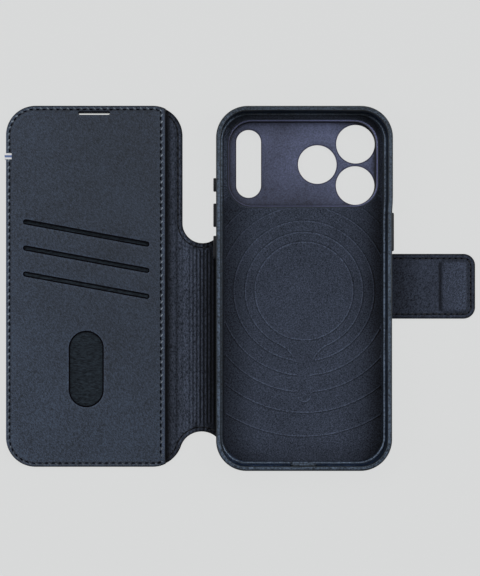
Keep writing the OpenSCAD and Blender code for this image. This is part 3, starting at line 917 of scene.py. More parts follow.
def make_flap():
    """The flap, from its cover to the stitched card panel."""
    ear = stadium(*EAR, EAR_W, EAR_H)
    left = PANEL_HIGH.x - 2.5
    make_flap_back(left, ear)

    core = slab(inset(flap_panel_loop(PANEL_HIGH.x - 0.6), 0.1), LEATHER_T, SPINE_T, top=0.05, bottom=0.05,
                holes=[ear])
    build("flap_core", core, edge_paint_and_highlight, "flap")

    outer = flap_panel_loop(PANEL_HIGH.x)
    top = PANEL_HIGH.z - 0.12
    edge = [(0.5, LEATHER_T), (0.1, LEATHER_T), (0, LEATHER_T + 0.3), (0, top - 0.5), (0.08, top - 0.15),
            (0.25, top), (0.5, top - 0.1)]
    build("flap_edge", sweep(outer, edge), edge_paint_and_highlight, "flap")
    outline = inset(outer, 0.25)
    slots = [stadium(THUMB[0], y, SLOT_L, SLOT_T, -SLOT_SLOPE, 0.3) for y in SLOT_Y]
    cut_outs = [*slots, stadium(THUMB[0], THUMB[1], THUMB_W, THUMB_H)]

    def sag(points):
        """The leather dips a little over the pockets and towards the cut-outs."""
        dip = -0.10 * smoothstep(0, 10, distance(points, outline))
        for hole in cut_outs:
            dip -= 0.14 * (1 - smoothstep(0, 3.5, distance(points, hole)))
        return dip

    def mouth(points):
        """How near the points are to the pocket mouth, from 0 to 1."""
        return smoothstep(PANEL_HIGH.x - 4, PANEL_HIGH.x - 1, points[:, 0])

    def panel_painted_light(points):
        """Painted light and shade: a dark crease inside the seam, dark upper and lower edges, and lighter bevels
        at the cut-outs.
        """
        flat, y = points[:, :2], points[:, 1]
        gap = distance(flat, outer) - MOUTH_SEAM * mouth(flat)
        # painted highlight on the band outside the seam, stronger towards the top and away from the mouth
        hem = 1.05 + 0.45 * smoothstep(-70, 40, y) * (1 - mouth(flat))
        tint = np.where(gap < CREASE_AT[0], hem, np.interp(gap, CREASE_AT, CREASE_PAINTED_LIGHT))
        ends = smoothstep(FLAP_R / 2, 2, np.minimum(y - FLAP_LOW.y, FLAP_HIGH.y - y))
        tint *= 1 - 0.6 * ends * (1 - smoothstep(0.3, 0.75, gap))
        for hole in cut_outs:
            tint *= 1 + 0.35 * (1 - smoothstep(0.4, 0.8, distance(flat, hole)))
        return tint

    seam_in = PANEL_SEAM + MOUTH_SEAM * mouth(outline)[:, None]
    spread = grid(np.arange(PANEL_LOW.x + 3, PANEL_HIGH.x - 3, 1.5),
                  np.arange(PANEL_LOW.y + 3, PANEL_HIGH.y - 3, 1.5))
    creases = [inset(outline, at) for at in (1.95, 2.2, 2.5, 3.2, 4.0)]
    bevels = [inset(hole, -0.8) for hole in cut_outs]
    panel = slab(outline, HEM_T, PANEL_HIGH.z, top=0.5, bottom=0.06, holes=[*cut_outs, ear], hole_edge=0.28,
                 seam=seam_in, seam_width=0.45, points=np.vstack((spread, *creases, *bevels)), relief=sag)
    build("card_panel", panel, panel_leather, "flap", ["wallet_panel"], tint=panel_painted_light)
    rim = sweep(inset(outline, 0.1), [(0, SPINE_T), (0, HEM_T), (HEM_W, HEM_T), (HEM_W, SPINE_T)])
    build("card_panel_hem", rim, edge_paint_and_highlight, "flap")
    # a near-black lip of painted shade just inside each cut-out
    shadow_lip = [(-0.3, -0.30), (0.1, -0.26), (0.42, -0.32), (0.54, -0.48), (0.46, -0.74), (-0.3, -0.78)]
    for i, hole in enumerate(cut_outs):
        lip = sweep(hole, [(at, PANEL_HIGH.z + z) for at, z in shadow_lip])
        build(f"cut_edge_shadow_{i + 1}", lip, hole_shadow, "flap")

    def seam_painted_light(points):
        """Painted light on the thread: lightest at the left edge and the pocket mouth, and dull along the foot."""
        x, y, _ = points.T
        tint = np.interp(x - FLAP_LOW.x, (3, 10, 60, 75), (1.0, 0.7, 0.7, 1.0))
        return tint * np.interp(y, (-84, -65, -20), (0.5, 0.6, 1.0))

    stitches("flap_seam", inset(outline, seam_in), PANEL_HIGH.z - 0.04, "flap",
             ["flap_thread", "pocket_mouth_thread"], width=0.56, share=0.5, slant=-34, hole=0.62,
             hole_in=0.55, hole_up=0.04, thread=slate_thread, tint=seam_painted_light)
    back = inset(flap_loop(SPINE_CUT), SEAM, [SPINE_CUT])
    stitches("flap_back_seam", back, BACK_SEAM_Z, "flap", blend=FLAP_BEND,
             span=(-math.inf, SPINE_CUT - CUT_CLEAR), up=-1)
    fold = inset(lining_loop(left, SPINE_CUT), SEAM, [SPINE_CUT, left])
    stitches("fold_seam", fold, SPINE_T - 0.12, "flap", ["spine_thread"], FLAP_BEND,
             span=(left + 3, SPINE_CUT - CUT_CLEAR), width=0.4, hole=0.3)


def make_tag():
    """The ribbon on the flap's free edge, and its fold over that edge."""
    low, high = mm_box("woven_tag")
    loop = rounded(low.x, high.x, low.y, high.y, 0.2, 0.1, 0.5)
    top = slab(loop, PANEL_HIGH.z - 0.35, high.z, top=0.08, bottom=0.05)
    fold = rounded(low.x, low.x + 0.3, low.y, high.y, 0.1, 0.05, 0.5)
    top.extend(slab(fold, 0.3, PANEL_HIGH.z, top=0.05, bottom=0.05))
    build("tag", top, tag_ribbon, "flap", ["woven_tag"])


# ---------------------------------------------------------------- rear panel and spine

def make_rear():
    """The rear panel's cover and pad, and the spine's far half."""
    cover = bending_cover(rear_loop(SPINE_CUT), [SPINE_CUT], fold_points(SPINE_CUT, SPINE_FOLD + 2.5))
    build("rear_cover", cover, outer_leather, "rear_panel",
          ["rear_leather", "spine_leather"], SPINE_BEND)

    cuts = [SPINE_CUT, SPINE_END]
    band = band_loop(*cuts)
    lining = bending_lining(band, cuts, rib_points(*cuts), ribs)
    build("spine_lining", lining, lining_suede, "spine", ["spine_ribbed_lining"], SPINE_BEND,
          tint=lambda p: fold_painted_shade(p) * lining_border_paint_and_painted_light(p, band_loop(SPINE_CUT - 7.3, SPINE_END + 0.5)))

    outline = rounded(-REAR_X, REAR_X, REAR_Y0, REAR_Y1, REAR_R)
    pad = slab(outline, LEATHER_T, REAR_T, top=0.3, bottom=0.05, seam=SEAM)
    build("rear_pad", pad, pad_suede, "rear_panel", ["rear_lining"])
    stitches("rear_seam", inset(outline, SEAM), REAR_T - 0.24, "rear_panel", ["rear_thread"])
    back = inset(rear_loop(SPINE_CUT), SEAM, [SPINE_CUT])
    stitches("rear_back_seam", back, BACK_SEAM_Z, "rear_panel", blend=SPINE_BEND,
             span=(SPINE_CUT + CUT_CLEAR, math.inf), up=-1)
    stitches("spine_seam", inset(band, SEAM, cuts), SPINE_T - 0.12, "spine", blend=SPINE_BEND,
             span=(SPINE_CUT + CUT_CLEAR, SPINE_END - CUT_CLEAR), width=0.5)


# ---------------------------------------------------------------- strap

STRAP_CUT = (STRAP_FOLD + TIP_FOLD) / 2
STRAP_ROOT = 36
STRAP_STITCH = 2.85
BUMP_LOW, BUMP_HIGH = mm_box("strap_magnet")
SIDE_BEND = ("rear_panel", "strap_side", STRAP_FOLD - 0.9, STRAP_FOLD + 3.2)
TIP_BEND = ("strap_side", "strap_tip", TIP_FOLD - 2.0, TIP_FOLD + 2.0)


def strap_root_loop():
    """The strap from under the shell to its cut."""
    return joined(line((STRAP_ROOT, STRAP_LOW.y), (STRAP_CUT, STRAP_LOW.y), 1),
                  line((STRAP_CUT, STRAP_HIGH.y), (STRAP_ROOT, STRAP_HIGH.y), 1))


def strap_tip_loop():
    """The strap from its cut to its rounded end."""
    x, y0, y1 = STRAP_HIGH.x - STRAP_R, STRAP_LOW.y + STRAP_R, STRAP_HIGH.y - STRAP_R
    return joined(line((STRAP_CUT, STRAP_LOW.y), (x, STRAP_LOW.y), 1), arc(x, y0, STRAP_R, -90, 0, 0.5),
                  line((STRAP_HIGH.x, y0), (STRAP_HIGH.x, y1)), arc(x, y1, STRAP_R, 0, 90, 0.5),
                  line((x, STRAP_HIGH.y), (STRAP_CUT, STRAP_HIGH.y), 1))


def beyond_patch(points, grow_x, grow_y, r):
    """Distance outside a rounded patch about the magnet, negative inside it."""
    patch = rounded(BUMP_LOW.x - grow_x, BUMP_HIGH.x + grow_x, BUMP_LOW.y - grow_y, BUMP_HIGH.y + grow_y, r)
    gap = distance(points, patch)
    return np.where(inside(points, patch), -gap, gap)


def clear_of_sides(y, margin):
    """1 along the strap's middle, fading to 0 at a margin from its sides."""
    return smoothstep(0, 1.5, STRAP_HIGH.y - margin - y) * smoothstep(0, 1.5, y - STRAP_LOW.y - margin)


def magnet_bump(points):
    """The lining stands up over the magnet, with a crease on its inner side."""
    x, y = points.T
    raised = 1 - smoothstep(-0.9, 0.7, beyond_patch(points, 0.6, 0.6, 1.2))
    crease = np.exp(-((x - BUMP_LOW.x + 1.4) / 0.45) ** 2) * clear_of_sides(y, 3.4)
    return 0.8 * raised - 0.4 * crease


def strap_painted_light(points):
    """Painted light and shade on the nap: darker beside the shell and in the crease, lighter on the patch over the
    magnet, most to the right, with a dark ring round it.
    """
    x, y, _ = points.T
    outline = joined(line((0, STRAP_LOW.y), (STRAP_CUT, STRAP_LOW.y)), strap_tip_loop(),
                     line((STRAP_CUT, STRAP_HIGH.y), (0, STRAP_HIGH.y)))
    tint = 0.60 + 0.40 * smoothstep(STRAP_FOLD + 2, TIP_FOLD - 2, x)
    tint *= lining_border_paint_and_painted_light(points, outline)
    beyond = beyond_patch(points[:, :2], 0.2, 0.4, 1.6)
    outward = smoothstep(BUMP_LOW.x, BUMP_HIGH.x, x)
    tint *= 1 + 0.32 * (1 - smoothstep(-0.8, 0.6, beyond)) * (0.7 + 0.9 * outward)
    tint *= 1 - 0.35 * np.exp(-((beyond - 0.9) / 0.6) ** 2)
    return tint * (1 - 0.5 * clear_of_sides(y, 3) * np.exp(-((x - BUMP_LOW.x + 1.3) / 0.7) ** 2))


def strap_part(name, face, loop, cuts, ends, body, bend, covers, points, relief=level):
    """A part of the strap between two X values: its cover, its lining and the seams on both."""
    rows = np.arange(STRAP_LOW.y, STRAP_HIGH.y, 1.8)
    cover = bending_cover(loop, cuts, grid(np.arange(*ends, 0.8), rows), 0.4)
    build(name + "_cover", cover, outer_leather, body, covers, bend)
    lining = bending_lining(loop, cuts, points, relief, SEAM, 0.62)
    build(face, lining, strap_suede, body, [body + "_lining"], bend, tint=strap_painted_light)
    path = inset(loop, SEAM + 0.2, cuts)
    span = (ends[0] + 1, ends[1] - 1)
    stitches(name + "_seam", path, SPINE_T - 0.1, body, [body + "_thread"], bend, STRAP_STITCH, span)
    stitches(name + "_back_seam", path, BACK_SEAM_Z, body, (), bend, STRAP_STITCH, span, up=-1)


def make_strap():
    """The strap's root and its tip, which meet at the cut between its two folds."""
    root, tip = (STRAP_ROOT, STRAP_CUT), (STRAP_CUT, STRAP_HIGH.x)
    coarse = grid(np.arange(*root, 0.8), np.arange(STRAP_LOW.y, STRAP_HIGH.y, 1.8))
    fine = grid(np.arange(STRAP_CUT + 0.3, STRAP_HIGH.x, 0.45), np.arange(STRAP_LOW.y, STRAP_HIGH.y, 0.6))
    strap_part("strap_root", "strap_root_lining", strap_root_loop(), root, root, "strap_side", SIDE_BEND, [],
               coarse)
    strap_part("strap_tip", "strap_tip_face", strap_tip_loop(), [STRAP_CUT], tip, "strap_tip", TIP_BEND,
               ["strap_side_leather", "strap_tip_leather"], fine, magnet_bump)


# ---------------------------------------------------------------- phone shell

# the flange round each button's pill, and the gap round the pill in its window
BUTTONS = ("action_button", "volume_up_button", "volume_down_button", "side_button")
FLANGE = 0.8
BUTTON_GAP = 0.15

# the walls: the room between them, the leather on them, the band at their top and the openings through them
CAVITY_W, CAVITY_L = 78.4, 164.4
SKIN = 0.6
SKIN_FLOOR = SHELL_LOW.z + 0.05
BAND = 0.7
FLOOR_Z = LINING_LOW.z
WALL_MID = opening("port_opening")[2]
PORT_W, PORT_H = 12.4, 6.6
SPEAKER_W, SPEAKER_H, SPEAKER_X = 14, 2.6, 17.8
CONTROL_W, CONTROL_H = 20, 4.8

# the camera's dish and its windows
LENS_R = 9.25
FLASH_W, FLASH_H = 11.9, 32.4
DISH_R = 11.3
DISH_WALL = 0.8
PLATE_Z = 1.6

# the rings pressed into the lining, each a radius and half the gap at its foot, and the bar below them
RING_CENTRE = (0.5, -1.2)
RINGS = ((23.3, 0), (33.2, 5.6), (40.0, 3.6), (47.8, 3.2), (57.5, 0), (68.7, 0))
NECK_RING = 27.9
NECK_TURN = 14
NECK_HALF = 3.4
BAR_HALF = 3.3
BAR_FOOT = -50.4


def cut(piece, shapes):
    """Takes closed shapes out of a piece."""
    for shape in shapes:
        tool = bpy.data.objects.new("cutter", new_mesh("cutter", shape))
        scene.collection.objects.link(tool)
        step = piece.modifiers.new("cut", "BOOLEAN")
        step.operation = "DIFFERENCE"
        step.solver = "EXACT"
        step.object = tool
        bpy.context.view_layer.update()
        result = bpy.data.meshes.new_from_object(piece.evaluated_get(bpy.context.evaluated_depsgraph_get()))
        piece.modifiers.clear()
        spent = [piece.data, tool.data]
        piece.data = result
        bpy.data.objects.remove(tool)
        for mesh in spent:
            bpy.data.meshes.remove(mesh)
    smooth(piece.data, 35)


def bar(start, end, middle, z, length, height, along="X"):
    """A round-ended bar through a wall."""
    loop = stadium(middle, z, length, height, 0, 0.4)
    return loft([(start, loop), (end, loop)], along)


def button_size(node):
    """Which side a button is on, its ends in X, its middle in Y and Z, and its length and height."""
    low, high = mm_box(node)
    side = -1 if low.x < 0 else 1
    root, tip = (high.x, low.x) if side < 0 else (low.x, high.x)
    middle = (low + high) / 2
    return side, root, tip, middle.y, middle.z, high.y - low.y - 2 * FLANGE, high.z - low.z - 2 * FLANGE


def window_bars():
    """One bar for each hole in the shell's walls."""
    inner, outer = CAVITY_W / 2 - 2, SHELL_HIGH.x + 1
    bars = []
    for node in BUTTONS:
        side, _, _, y, z, length, height = button_size(node)
        ends = sorted((side * inner, side * outer))
        bars.append(bar(*ends, y, z, length + 2 * BUTTON_GAP, height + 2 * BUTTON_GAP))
    control = opening("control_window")
    bars.append(bar(inner, outer, control[1], control[2], CONTROL_W, CONTROL_H))
    holes = [(0, PORT_W, PORT_H), (-SPEAKER_X, SPEAKER_W, SPEAKER_H), (SPEAKER_X, SPEAKER_W, SPEAKER_H)]
    bars += [bar(SHELL_LOW.y - 1, -CAVITY_L / 2 + 2, x, WALL_MID, w, h, "Y") for x, w, h in holes]
    return bars


def dish_loop(grow=0.0):
    """The camera dish's outline, from its outer wall."""
    x0, y0, _ = DISH_LOW
    x1, y1, _ = DISH_HIGH
    return rounded(x0 - grow, x1 + grow, y0 - grow, y1 + grow, DISH_R + grow, 0.6)


def shell_loop(low, high):
    """The shell's outline. Its wall stands out a little beside the camera."""
    loop = rounded(low.x, high.x, low.y, high.y, SHELL_R, 0.7, 3)
    loop[:, 0] += WALL_SWELL * smoothstep(34, 42, loop[:, 1]) * smoothstep(20, 36, loop[:, 0])
    return loop


def rim_profile(side):
    """The wall's section: a band, a rim with two fine grooves, a lip inside it and a foot on the floor."""
    z = RIM_Z
    return [
        (SKIN, FLOOR_Z - 0.8), (SKIN, z - BAND - 0.15), (SKIN - 0.1, z - BAND), (0.10, z - BAND),
        (0.0, z - BAND + 0.12), (0.02, z - 0.32), (0.16, z - 0.10), (0.42, z - 0.02), (0.62, z - 0.02),
        (0.70, z - 0.10), (0.84, z - 0.10), (0.92, z), (1.25, z), (1.33, z - 0.08), (1.45, z - 0.08),
        (1.53, z), (1.80, z), (1.92, z - 0.02), (side + 0.1, z - 0.02), (side + 0.45, z - 0.16),
        (side + 0.58, z - 0.42),
        (side + 0.50, z - 0.68), (side + 0.12, z - 0.86), (side, z - 1.1), (side, FLOOR_Z + 0.5),
        (side + 0.12, FLOOR_Z + 0.12), (side + 0.4, FLOOR_Z), (side + 3.2, FLOOR_Z),
        (side + 3.2, FLOOR_Z - 0.8)]


def make_frame():
    """The moulded frame: its walls and windows, the bead round the bay, the port's sleeve and the floor."""
    outer = shell_loop(FRAME_LOW, FRAME_HIGH)
    side = FRAME_HIGH.x - CAVITY_W / 2
    ring = sweep(outer, rim_profile(side))
    piece = build("bumper", ring, frame_polymer, "phone_shell", ["shell_frame"])
    cut(piece, window_bars())

    def rim_painted_light(points):
        """Painted light and shade: the rim is darker at its outer edge, with painted shade at its inner edge and
        towards the top, and the walls inside are painted a dark navy shade, lighter along the bottom wall.
        """
        x, y, z = points.T
        gap = distance(points[:, :2], outer)
        tint = np.interp(gap - 0.22 * smoothstep(-81.9, -83.1, y), (0.43, 0.68, 1.80), (0.12, 1.0, 1.12))
        shift = 0.15 * smoothstep(38.9, 40.1, x) - 0.20 * smoothstep(-38.9, -40.1, x)
        tint *= np.interp(gap + shift, (1.80, 1.92), (1.0, 0.06))
        tint *= np.interp(x, (-41, -30, 30, 41), (1.04, 1.0, 0.96, 0.94))
        tint *= np.interp(y, (-84, 0, 60, 80), (1.0, 1.0, 0.86, 0.58))
        lit = z > RIM_Z - 0.6
        # painted navy shade on the walls inside, lighter along the bottom wall
        navy = np.outer(np.interp(y, (-82, -76), (2.6, 1.0)), (0.035, 0.085, 0.17))
        return np.where(lit[:, None], tint[:, None], navy)

    def bead_painted_light(points):
        """Painted light on the bead: lighter on the right and at the foot, brighter still at the lower right, with
        painted glints at the upper left and at the lower left corner.
        """
        x, y, _ = points.T
        tint = np.interp(x, (-38, -30, 30, 38), (0.36, 0.7, 0.8, 1.55))
        tint *= np.interp(y, (-82, -60, 70, 80), (1.3, 1.05, 0.9, 0.42))
        tint *= 1 + 2.3 * smoothstep(30, 45, y) * smoothstep(-30, -34, x)
        tint *= 1 + 0.3 * smoothstep(26, 34, x) * smoothstep(-66, -76, y)
        return tint * (1 + 3.2 * np.exp(-((x + 34) ** 2 + (y + 76) ** 2) / 16))

    def sleeve_painted_light(points):
        """Painted light: the sleeve is lighter at its foot, and painted shade darkens it towards the top."""
        return np.interp(points[:, 2], (6, 9), (0.8, 0.1))

    add_tint(piece.data, rim_painted_light)
    half_turn = np.radians(np.arange(0, 181, 20))
    bead = [(side + 0.72 - 0.42 * math.cos(a), FLOOR_Z - 0.1 + 0.5 * math.sin(a)) for a in half_turn]
    build("bay_bead", sweep(outer, bead), bead_highlight_polymer, "phone_shell", tint=bead_painted_light)
    outside = stadium(0, WALL_MID, PORT_W, PORT_H, 0, 0.4)
    lining = inset(outside, 0.25)
    front, back = FRAME_LOW.y + 0.2, -CAVITY_L / 2 - 0.1
    sleeve = loft([(front, outside), (back, outside), (back, lining), (front, lining)], "Y", closed=True)
    build("port_sleeve", sleeve, bead_highlight_polymer, "phone_shell", tint=sleeve_painted_light)
    base = slab(inset(outer, side + 2.6), FLOOR_Z - 0.8, FLOOR_Z - 0.02, top=0.02, bottom=0.02,
                holes=[dish_loop(0.02)], hole_edge=0.02)
    build("bumper_floor", base, guard_polymer, "phone_shell")


def make_skin():
    """The leather over the shell's walls and back."""
    outer = shell_loop(SHELL_LOW, SHELL_HIGH)
    low, high = SKIN_FLOOR, SHELL_HIGH.z
    quarter = np.radians(np.arange(0, 91, 15))
    profile = [(1.6 * (1 - math.sin(a)), low + 1.6 * (1 - math.cos(a))) for a in quarter]
    profile += [(0, high - 0.3), (0.08, high - 0.08), (0.25, high), (SKIN, high), (SKIN, low + 1.2)]
    profile += [(2.2, low + 0.7)]
    piece = build("shell_skin", sweep(outer, profile), shell_hide, "phone_shell",
                  ["shell_leather"])
    cut(piece, window_bars())
    back = slab(inset(outer, 1.5), low, low + 0.7, top=0.02, bottom=0.02, holes=[dish_loop(0.02)],
                hole_edge=0.05)
    build("shell_back", back, shell_hide, "phone_shell")


def ring_marks():
    """The curves pressed into the lining: rings about the magnets, and the outline of the bar below them."""
    cx, cy = RING_CENTRE
    curves = []
    for radius, gap in RINGS:
        half = math.degrees(math.asin(min(1, gap / radius)))
        curves.append(arc(cx, cy, radius, -90 + half, 270 - half, 0.9))
    reach = NECK_HALF + NECK_TURN
    lift = math.sqrt((NECK_RING + NECK_TURN) ** 2 - reach ** 2)
    swing = math.degrees(math.atan2(lift, reach))
    right = arc(cx + reach, cy - lift, NECK_TURN, 180 - swing, 156, 0.7)
    ring = arc(cx, cy, NECK_RING, -swing, 180 + swing, 0.9)
    left = arc(cx - reach, cy - lift, NECK_TURN, swing, -4, 0.7)
    arms = [line((cx + s * BAR_HALF, BAR_FOOT + 3), (cx + s * BAR_HALF, BAR_FOOT), 1) for s in (1, -1)]
    end = arc(cx, BAR_FOOT, BAR_HALF, 180, 360, 0.6)
    curves += [ring, right, left, *arms, end]
    return curves


# height and painted highlight across a pressed line, by distance from its middle
PRESS_AT = (0.0, 0.24, 0.45, 0.75)
PRESS_DROP = (-0.22, -0.16, 0.02, 0.0)
PRESS_PAINTED_HIGHLIGHT = (0.2, 0.95, 0.35, 0.0)


def make_bay():
    """The microfibre lining, with mesh points close together along its pressed lines."""
    outline = rounded(LINING_LOW.x, LINING_HIGH.x, LINING_LOW.y, LINING_HIGH.y, 12.4)
    hole = dish_loop(0.3)
    marks = ring_marks()
    spots = np.vstack(marks)
    tree = KDTree(len(spots))
    for i, spot in enumerate(spots):
        tree.insert((*spot, 0), i)
    tree.balance()
    points = []
    for curve in marks:
        d = np.gradient(curve, axis=0)
        side = np.column_stack((-d[:, 1], d[:, 0])) / np.linalg.norm(d, axis=1, keepdims=True)
        for offset in (*(-w for w in PRESS_AT[:0:-1]), *PRESS_AT):
            points += list(curve + side * offset)
    lattice = grid(np.arange(LINING_LOW.x, LINING_HIGH.x, 2.0), np.arange(LINING_LOW.y, LINING_HIGH.y, 2.0))
    lattice = [p for p in lattice if tree.find((*p, 0))[2] > 1.5]
    points = keep_inside(np.vstack((points, lattice)), outline, [hole], 0.9)

    def fade(p):
        """Lines stop short of the lining's edges."""
        return smoothstep(0.4, 1.1, distance(p, outline)) * smoothstep(0.6, 1.4, distance(p, hole))

    def nearest(p):
        """Distances from the nearest line, and how far each point is on its inner side, from -1 to 1."""
        found = [tree.find((x, y, 0)) for x, y in p]
        away = p - np.array([f[0][:2] for f in found])
        gap = np.linalg.norm(away, axis=1)
        outward = p - np.array(RING_CENTRE)
        outward /= np.linalg.norm(outward, axis=1, keepdims=True) + 0.01
        return gap, -(away * outward).sum(1) / np.maximum(gap, 0.01)

    def pressed(p):
        return np.interp(nearest(p)[0], PRESS_AT, PRESS_DROP) * fade(p)

    def tint(p):
        """Painted light and shade on the nap: a painted highlight on the inner side of a line, and painted shade
        beside the walls.
        """
        flat = p[:, :2]
        x, y = flat.T
        gap, within = nearest(flat)
        lines = np.interp(gap, PRESS_AT, PRESS_PAINTED_HIGHLIGHT) * (0.3 + 0.95 * within) * fade(flat)
        lines *= np.interp(y, (-20, 10, 35), (1.0, 0.9, 0.5))
        walls = np.interp(x, (-37.5, -32, -22, 18, 28, 36.2, 37.3), (0.50, 0.62, 0.96, 1.0, 0.76, 0.22, 0.4))
        walls = walls * np.interp(y, (-81.4, -76, -70, 40, 75, 81.4), (0.75, 0.98, 1.06, 1.0, 0.85, 0.4))
        walls *= 1 + np.where(x < 0, 1.9, 0.95) * smoothstep(38, 46, y) * smoothstep(35, 36.5, abs(x))
        return walls + lines * (0.55 + 0.45 * walls)

    lining = slab(outline, LINING_LOW.z, LINING_HIGH.z, top=0.15, bottom=0.03, holes=[hole], hole_edge=0.12,
                  points=points, relief=pressed)
    build("bay_lining", lining, bay_microfibre, "phone_shell", ["shell_lining"], flat_angle=60,
          tint=tint)


def make_camera():
    """The camera dish: its wall, its plate with four windows, their rims, and the guard behind it."""
    outer = dish_loop()
    top, bottom = DISH_HIGH.z, DISH_LOW.z
    lenses = [opening("lens_window_" + n) for n in ("upper", "lower", "inner")]
    flash = opening("flash_window")
    holes = [arc(x, y, LENS_R, 0, 354, 0.7) for x, y, _ in lenses]
    holes.append(stadium(flash[0], flash[1], FLASH_W, FLASH_H))
    wall = [(0.0, bottom + 0.3), (0.0, top - 0.35), (0.22, top), (0.68, top), (0.78, top - 0.12),
            (DISH_WALL, top - 0.40), (DISH_WALL, PLATE_Z + 0.45), (DISH_WALL + 0.14, PLATE_Z + 0.12),
            (DISH_WALL + 0.35, PLATE_Z - 0.02), (DISH_WALL + 0.35, bottom + 0.1)]

    def dish_wall_painted_light(points):
        """Painted light and shade: the wall's lip is bright, most of all on the right, and its inner face is dark.
        """
        x, y, z = points.T
        lip = smoothstep(top - 0.35, top - 0.05, z)
        tint = (0.06 + 0.94 * lip) * np.interp(x, (-36, 0, 30, 36), (0.66, 0.95, 1.3, 2.6))
        return tint * np.interp(y, (70, 76), (1.0, 1.75))

    def plate_painted_light(points):
        """Painted light and shade: the plate is lighter towards the right, with a dark margin on that side."""
        x, y, _ = points.T
        tint = np.interp(x, (-36, -24, -5, 22, 34), (0.62, 0.85, 0.98, 1.18, 1.3))
        tint *= np.interp(y, (38, 48, 60, 80), (0.6, 0.92, 1.12, 0.98))
        margin = 1 - smoothstep(1.2, 2.2, distance(points[:, :2], outer))
        return tint * (1 - margin * np.interp(x, (-36, 16, 28), (0.35, 0.35, 0.97)))

    build("camera_wall", sweep(outer, wall), wall_metal, "phone_shell", ["camera_plate"],
          tint=dish_wall_painted_light)
    spread = grid(np.arange(DISH_LOW.x, DISH_HIGH.x, 2), np.arange(DISH_LOW.y, DISH_HIGH.y, 2))
    margins = np.vstack([inset(outer, at) for at in (1.2, 1.7, 2.2)])
    plate = slab(inset(outer, 0.3), bottom, PLATE_Z, top=0.05, bottom=0.3, holes=holes, hole_edge=0.22,
                 points=np.vstack((spread, margins)))
    build("camera_plate_floor", plate, plate_metal, "phone_shell", tint=plate_painted_light)
    rim = [(-0.50, PLATE_Z - 0.1), (-0.42, PLATE_Z + 0.08), (-0.1, PLATE_Z + 0.10), (0.06, PLATE_Z - 0.05),
           (0.06, bottom + 0.1), (-0.3, bottom + 0.1), (-0.3, PLATE_Z - 0.1)]
    for i, loop in enumerate(holes):
        build(f"lens_rim_{i + 1}", sweep(loop, rim), rim_metal, "phone_shell",
              tint=plate_painted_light)
    guard = rounded(GUARD_LOW.x, GUARD_HIGH.x, GUARD_LOW.y, GUARD_HIGH.y, DISH_R + 1.5, 0.6)
    ring = [(0, GUARD_HIGH.z), (0, 0.6), (0.18, 0.18), (0.6, 0), (1.0, 0), (1.35, 0.15), (1.5, 0.5),
            (1.5, GUARD_HIGH.z)]
    build("camera_ring", sweep(guard, ring), guard_polymer, "phone_shell", ["camera_guard"])


def make_button(node):
    """A pill with a soft edge, on a flange inside the wall."""
    side, root, tip, y, z, length, height = button_size(node)
    pill = stadium(y, z, length, height, 0, 0.3)
    flange = root + side * 0.4
    sections = [(root, 0.75), (root + side * 0.05, FLANGE), (flange, FLANGE), (flange, 0.0)]
    sections += [(tip - side * drop, -i) for i, drop in rounding(0.35)]
    cap = loft([(x, inset(pill, -grow)) for x, grow in sections])
    build(node + "_cap", cap, button_metal, node, [node])


# ---------------------------------------------------------------- everything

make_flap()
make_tag()
make_rear()
make_strap()
make_frame()
make_skin()
make_bay()
make_camera()
for button_node in BUTTONS:
    make_button(button_node)

CAD_MATERIALS = {
    "rear_board": board, "flap_board": board,
    "rear_magnet_ring": nickel, "rear_alignment_magnet": nickel, "strap_magnet": nickel,
    "shell_magnet_ring": nickel, "shell_alignment_magnet": nickel, "flap_closure_plate": zinc,
    "card_pocket_upper": pocket_cloth, "card_pocket_middle": pocket_cloth, "card_pocket_lower": pocket_cloth,
}
for node, material in CAD_MATERIALS.items():
    for slot in frame["nodes"][node].material_slots:
        slot.material = material


# ---------------------------------------------------------------- floor, light and camera

FLOOR_HALF = 40.0
FLOOR_DROP = 0.0002


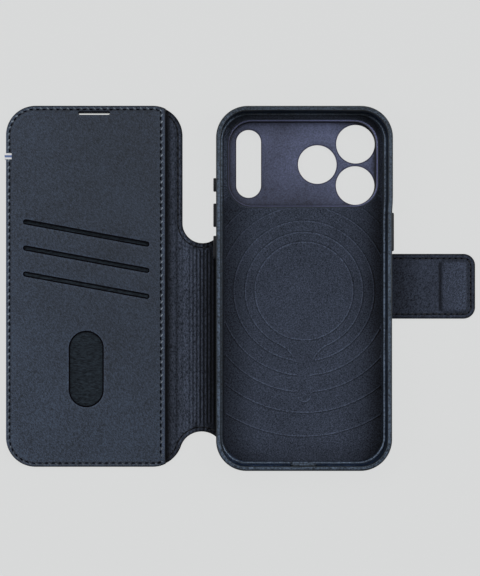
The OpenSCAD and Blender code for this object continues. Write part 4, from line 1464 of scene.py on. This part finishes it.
def make_floor():
    """A pale floor that glows a little, so that it stays even under the object."""
    mesh = bpy.data.meshes.new("floor")
    corners = [(-FLOOR_HALF, -FLOOR_HALF, 0), (FLOOR_HALF, -FLOOR_HALF, 0), (FLOOR_HALF, FLOOR_HALF, 0),
               (-FLOOR_HALF, FLOOR_HALF, 0)]
    mesh.from_pydata(corners, [], [(0, 1, 2, 3)])
    floor = bpy.data.objects.new("floor", mesh)
    scene.collection.objects.link(floor)
    floor.location.z = -FLOOR_DROP
    paint = Paint("floor", Roughness=1.0, Specular_IOR_Level=0.0, Emission_Strength=1.0,
                  Base_Color=(0.03, 0.03, 0.03), Emission_Color=(0.66, 0.667, 0.667))
    mesh.materials.append(paint.material)


def area_light(name, where, size, power):
    """A rectangular lamp that points at the middle of the floor."""
    light = bpy.data.lights.new(name, "AREA")
    light.shape = "RECTANGLE"
    light.size, light.size_y = size
    light.energy = power
    lamp = bpy.data.objects.new(name, light)
    lamp.location = where
    lamp.rotation_euler = (-Vector(where)).to_track_quat("-Z", "Y").to_euler()
    scene.collection.objects.link(lamp)


def make_lights():
    """Soft daylight from all sides, with four broad lamps."""
    world = bpy.data.worlds.new("studio")
    world.use_nodes = True
    world.node_tree.nodes["Background"].inputs["Color"].default_value = (1.0, 1.0, 1.0, 1)
    world.node_tree.nodes["Background"].inputs["Strength"].default_value = 0.10
    scene.world = world
    area_light("top", (0.0, 0.75, 1.15), (1.3, 0.5), 7.5)
    area_light("left", (-1.1, 0.05, 0.75), (0.5, 1.2), 7.5)
    area_light("right", (1.1, 0.1, 0.85), (0.5, 1.2), 9.5)
    area_light("foot", (0.0, -1.0, 1.0), (1.3, 0.4), 3)


CAMERA_X, CAMERA_Y = -0.2, -0.71
CAMERA_ABOVE_RIM = 500
LENS_MM = 67.5


def make_camera_object():
    """A camera that looks straight down."""
    camera = bpy.data.objects.new("camera", bpy.data.cameras.new("camera"))
    camera.data.lens = LENS_MM
    camera.data.sensor_width = 36
    camera.data.clip_start = 0.01
    camera.location = (CAMERA_X * MM, CAMERA_Y * MM, (CAMERA_ABOVE_RIM + RIM_Z) * MM)
    scene.collection.objects.link(camera)
    scene.camera = camera


make_floor()
make_lights()
make_camera_object()
scene.view_settings.view_transform = "Standard"
